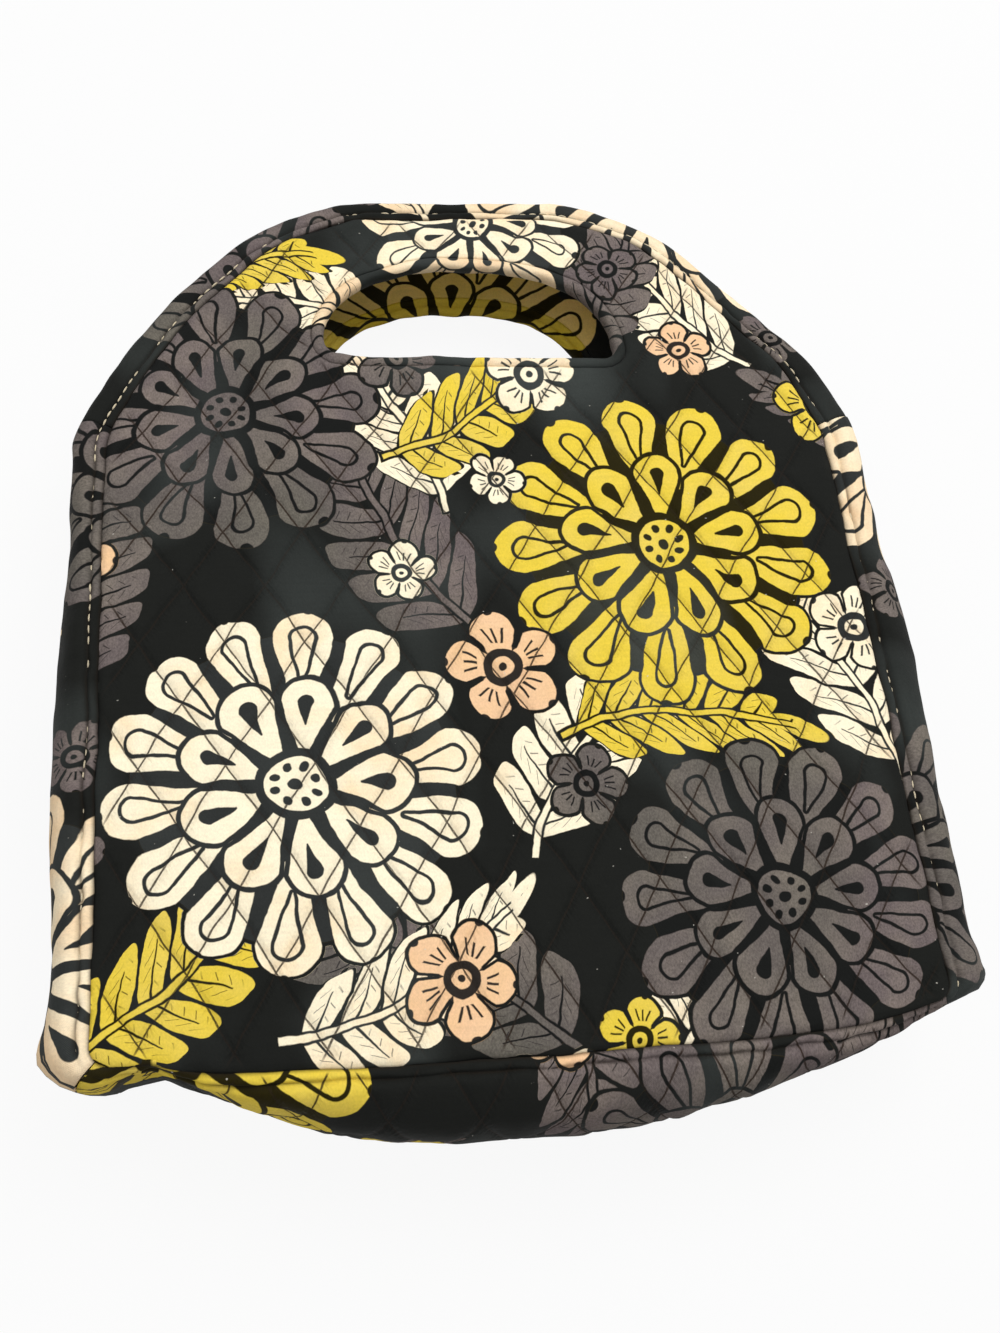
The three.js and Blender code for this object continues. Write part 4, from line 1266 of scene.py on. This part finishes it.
def stitches(name, path, material, up=(0, 0, 1), body="bag", loose=True):
    """Separate stitches of thread sunk along a path, on a surface that faces up."""
    along = distances(path)
    shape, ring = np.linspace(-1, 1, 7), np.arange(6)
    girth = np.sqrt(np.clip(1 - shape**2, 0.03, 1)) * STITCH_THICK / 2
    tubes = []
    for middle in (np.arange(int(along[-1] / STITCH_STEP)) + 0.5) * STITCH_STEP:
        where = middle + shape * STITCH / 2
        line = np.stack([np.interp(where, along, c) for c in path.T], 1)
        sunk = 0.8 * smoothstep(-0.5, -0.25, noise(middle, 0.5, 21, 71))
        line += np.outer(0.14 - sunk - 0.3 * shape**4, up)
        tubes.append(tube(line, girth, len(ring)))
    starts = np.arange(len(tubes))[:, None, None] * len(tubes[0])
    walls = grid_faces(len(shape), len(ring), closed_cols=True) + starts
    caps = np.stack([ring[::-1], ring + len(tubes[0]) - len(ring)]) + starts
    lists = [walls.reshape(-1, 4), caps.reshape(-1, len(ring))]
    piece = make_object(name, np.concatenate(tubes), lists, material, body=body, loose=loose)


def topstitch_path(s):
    """Where the topstitching runs on the gusset and the band beside the front panel."""
    path = []
    for x, y, nx, ny, bulge in zip(*Rim.at(s)):
        if y < GUSSET_TOP:
            out, z = gusset_curve(y, bulge)
            lift = SHELL_OUT * smoothstep(0, 6, TOPSTITCH) - 0.7
        else:
            out, depth = band_section("front", bulge)
            z, lift = front_face(y) - depth, -0.55
        along = distances(np.stack([out, z], 1))
        o, h = np.interp(TOPSTITCH, along, out), np.interp(TOPSTITCH, along, z)
        path.append((x + nx * o, y + ny * o, h + lift))
    return np.array(path)


path = topstitch_path(both_ways(np.arange(CORNER_PLACE + 3, Rim.length, 2.0)))
stitches("front_edge_topstitch", path, thread)


def hole_stitches(side):
    loop = hole_loop(1.5)
    loop, normal = (np.concatenate([v, v[:1]]) for v in (loop, loop_normals(loop)))
    if side == "front":
        xy = loop + normal * (LIP + 0.1)
        z = front_face(xy[:, 1]) + sag(*xy.T) - 0.7
    else:
        xy = loop + normal * 2.35
        z = np.full(len(xy), 4.9)
    stitches(f"{side}_hole_topstitch", np.column_stack([xy, z]), dark_thread)


hole_stitches("front")
hole_stitches("back")


# Zip: cloth strips, tapes, end tabs and tail


def place_of(node):
    """A node's lowest and highest corners in millimetres, with Y from the bottom seam."""
    return (np.array(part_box(node)) - [0, SEAM_Y, 0]) / MM


def soft_strip(node, material, body, cloth_at=(0, 0), notch=None):
    """A flat strip along X, as long and wide as a node, with soft edges and a slight wave. notch is a slot
    cut into its left end: how far it goes, and its half width."""
    (x0, y0, z0), (x1, y1, z1) = place_of(node)
    middle, thick = (z0 + z1) / 2, min(y1 - y0, 1.0)
    rows, cols = np.linspace(x0, x1, int((x1 - x0) / 1.2) + 1), np.linspace(z0, z1, 13)
    if notch:
        deep, wide = notch
        rows[np.abs(rows - deep).argmin()] = deep
        cols = np.sort([*cols[np.abs(cols - middle) > wide + 0.1], middle - wide, middle + wide])
    x, z = np.meshgrid(rows, cols, indexing="ij")
    edge = np.minimum(np.minimum(x - x0, x1 - x), np.minimum(z - z0, z1 - z))
    half = thick / 2 * (0.45 + 0.4 * smoothstep(0, 0.8, edge))
    centre = (y0 + y1) / 2 + 0.09 * noise(x, z, 9, 61) * thick
    faces = grid_faces(len(rows), len(cols))
    if notch:
        at_x, at_z = (v.ravel()[faces].mean(1) for v in (x, z))
        faces = faces[~((at_x < deep) & (np.abs(at_z - middle) < wide))]
    used, faces = np.unique(faces, return_inverse=True)
    upper, lower = (np.stack([x, y, z], 2).reshape(-1, 3)[used] for y in (centre + half, centre - half))
    cloth, faces = upper[:, [0, 2]] + cloth_at, faces.reshape(-1, 4)
    piece = shell(f"{node}_cloth", upper, lower, faces, material, cloth, body=body, loose=False)
    stands_for(node)


for side in ("front", "back"):
    flap = f"{side}_zip_flap"
    soft_strip(f"{side}_zip_strip", printed, flap, (40, 90))
    soft_strip(f"{side}_zip_tape", tape_cloth, flap)
    (x0, _, z0), (x1, top, z1) = place_of(f"{side}_zip_strip")
    row = np.linspace(x0 + 1, x1 - 1, 90)
    inner = z0 + 1.3 if side == "front" else z1 - 1.3
    path = np.column_stack([row, np.full(90, top - 0.12), np.full(90, inner)])
    stitches(f"{side}_zip_stitches", path, thread, (0, 1, 0), flap, loose=False)

slot_end = place_of("zip_end_stop")[1][0] + 0.3
soft_strip("zip_tail", tape_cloth, "bag", notch=(slot_end, 0.8))


def tail_teeth():
    """The two short rows of teeth on the tail, inside the slider, each on its cord."""
    (x0, y0, z0), (x1, y1, z1) = place_of("zip_tail")
    spans = [(x0 + 0.1, slot_end - 0.1, 2.8, 3.6)]
    spans += [(x, x + 1.7, 0.8, 2.9) for x in np.arange(x0 + 0.4, slot_end - 2.0, 3.2)]
    block = np.concatenate([grid_faces(4, 4, closed_cols=True), [[3, 2, 1, 0], [12, 13, 14, 15]]])
    points, faces = [], []
    for sign in (1, -1):
        for a, b, near, far in spans:
            faces.append(block[:, ::sign] + len(points))
            for level, inset in ((-1, 0.25), (-0.75, 0), (0.75, 0), (1, 0.25)):
                left, right, low_z, high_z = a + inset, b - inset, near + inset, far - inset
                for x, z in ((left, low_z), (right, low_z), (right, high_z), (left, high_z)):
                    points.append((x, (y0 + y1) / 2 + level, (z0 + z1) / 2 + sign * z))
    piece = make_object("zip_tail_teeth", points, [np.concatenate(faces)], teeth_plastic, loose=False)


tail_teeth()


def end_tab(side):
    """Cloth folded over one end of the zip: a U in section, closed at the side seam."""
    (x0, y0, z0), (x1, y1, z1) = place_of(f"{side}_zip_tab")
    reach, end = (y1 - y0) / 2, x1 - x0
    slot, pocket, r = reach - 1.0, 2.7, 0.45
    turn = np.linspace(0, np.pi / 2, 5)
    section = [(0.1, -slot + 0.05), (pocket, -slot + 0.1), (pocket + 0.3, 0), (pocket, slot - 0.1)]
    section += [(0.1, slot - 0.05)]
    section += [(r * (1 - math.cos(t)), reach - r + r * math.sin(t)) for t in turn]
    stitched = np.linspace(1.2, end - 0.3, 16)
    section += [(x, reach - 0.12 - 0.2 * bell(x - 5.2, math.sqrt(0.5))) for x in stitched]
    section += [(end, reach - 0.5), (end, -reach + 0.5)]
    section += [(x, -reach + 0.12) for x in np.linspace(end - 0.3, 1.2, 12)]
    section += [(r * (1 - math.sin(t)), -reach + r - r * math.cos(t)) for t in turn]
    section = np.array(section)
    z, u = np.meshgrid(np.linspace(z0, z1, 22), section[:, 0], indexing="ij")
    y = (y0 + y1) / 2 + section[:, 1] * (1 - np.abs(0.1 * noise(u, z, 6, 66)))
    points = np.stack([x0 + u if side == "right" else x1 - u, y, z], 2).reshape(-1, 3)
    cap = triangulate(section, ring_edges(len(section)), 1, 1e-6)[1]
    lists = [grid_faces(*z.shape, closed_cols=True), cap[:, ::-1], cap + 21 * len(section)]
    cloth = points[:, [0, 2]] + (30, 70)
    piece = make_object(f"{side}_zip_tab_cloth", points, lists, printed, cloth, loose=False)
    stands_for(f"{side}_zip_tab")


end_tab("left")
end_tab("right")


# CAD nodes that keep their shape


def repaint(node, material):
    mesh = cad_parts[node].data
    mesh.materials.clear()
    mesh.materials.append(material)


for node in ("front_top_stop", "back_top_stop", "zip_end_stop", "zip_slider", "zip_pull"):
    repaint(node, zip_metal)
for node in ("front_zip_teeth", "back_zip_teeth"):
    repaint(node, teeth_plastic)


# Table, light and camera


def seen_directly(tree):
    """1 where the camera, a mirror or glass looks at the surface, 0 where it only gives light."""
    path = tree.nodes.new("ShaderNodeLightPath")
    rays = [Wire(path.outputs[f"Is {kind} Ray"]) for kind in ("Camera", "Glossy", "Transmission")]
    return high(high(rays[0], rays[1]), rays[2])


def make_floor():
    """A white table that looks brighter than it lights the bag, with the bag's shadow left on it."""
    reach = 4.0
    mesh = bpy.data.meshes.new("table")
    corners = [(-reach, -reach, 0), (reach, -reach, 0), (reach, reach, 0), (-reach, reach, 0)]
    mesh.from_pydata(corners, [], [(0, 1, 2, 3)])
    material, tree, shader = new_material("table")
    feed(shader, {"Base Color": (0.6, 0.6, 0.6, 1), "Roughness": 0.9, "Specular IOR Level": 0.1})
    glow, mix = (tree.nodes.new("ShaderNode" + kind) for kind in ("Emission", "MixShader"))
    feed(mix, [seen_directly(tree) * 0.92, Wire(shader.outputs[0]), Wire(glow.outputs[0])])
    feed(tree.nodes["Material Output"], {"Surface": Wire(mix.outputs[0])})
    mesh.materials.append(material)
    add_object("table", mesh)


def add_lamp(name, place, width, power):
    """A square lamp that shines at the bag's place."""
    lamp = bpy.data.lights.new(name, "AREA")
    lamp.shape, lamp.size, lamp.energy = "SQUARE", width, power
    thing = add_object(name, lamp)
    thing.location = place
    thing.rotation_euler = (-Vector(place)).to_track_quat("-Z", "Y").to_euler()


def add_camera():
    """The photograph's camera, fitted to the outline: above the bag, beyond its bottom and to its left."""
    data = bpy.data.cameras.new("camera")
    data.sensor_width = 36.0
    data.lens = 36.0 * 1450 / 1333
    camera = add_object("camera", data)
    right = Vector((0.98545, -0.08055, 0.14967))
    ahead = Vector((0.16704, 0.29625, -0.94039))
    turn = Matrix((right, right.cross(ahead), -ahead)).transposed()
    camera.matrix_world = Matrix.Translation((-0.07721, SEAM_Y - 0.01678, 0.48406)) @ turn.to_4x4()
    bpy.context.scene.camera = camera


WORLD_LIGHT = 0.5


def light_scene():
    world = bpy.data.worlds.new("world")
    bpy.context.scene.world = world
    world.use_nodes = True
    strength = seen_directly(world.node_tree) * (1 - WORLD_LIGHT) + WORLD_LIGHT
    feed(world.node_tree.nodes["Background"], {"Color": (1, 1, 1, 1), "Strength": strength})
    add_lamp("key", (0.45, 0.55, 1.25), 0.9, 15)
    add_lamp("fill", (-0.5, 0.3, 1.2), 1.2, 4.3)
    bpy.context.scene.view_settings.view_transform = "Standard"


make_floor()
light_scene()
add_camera()
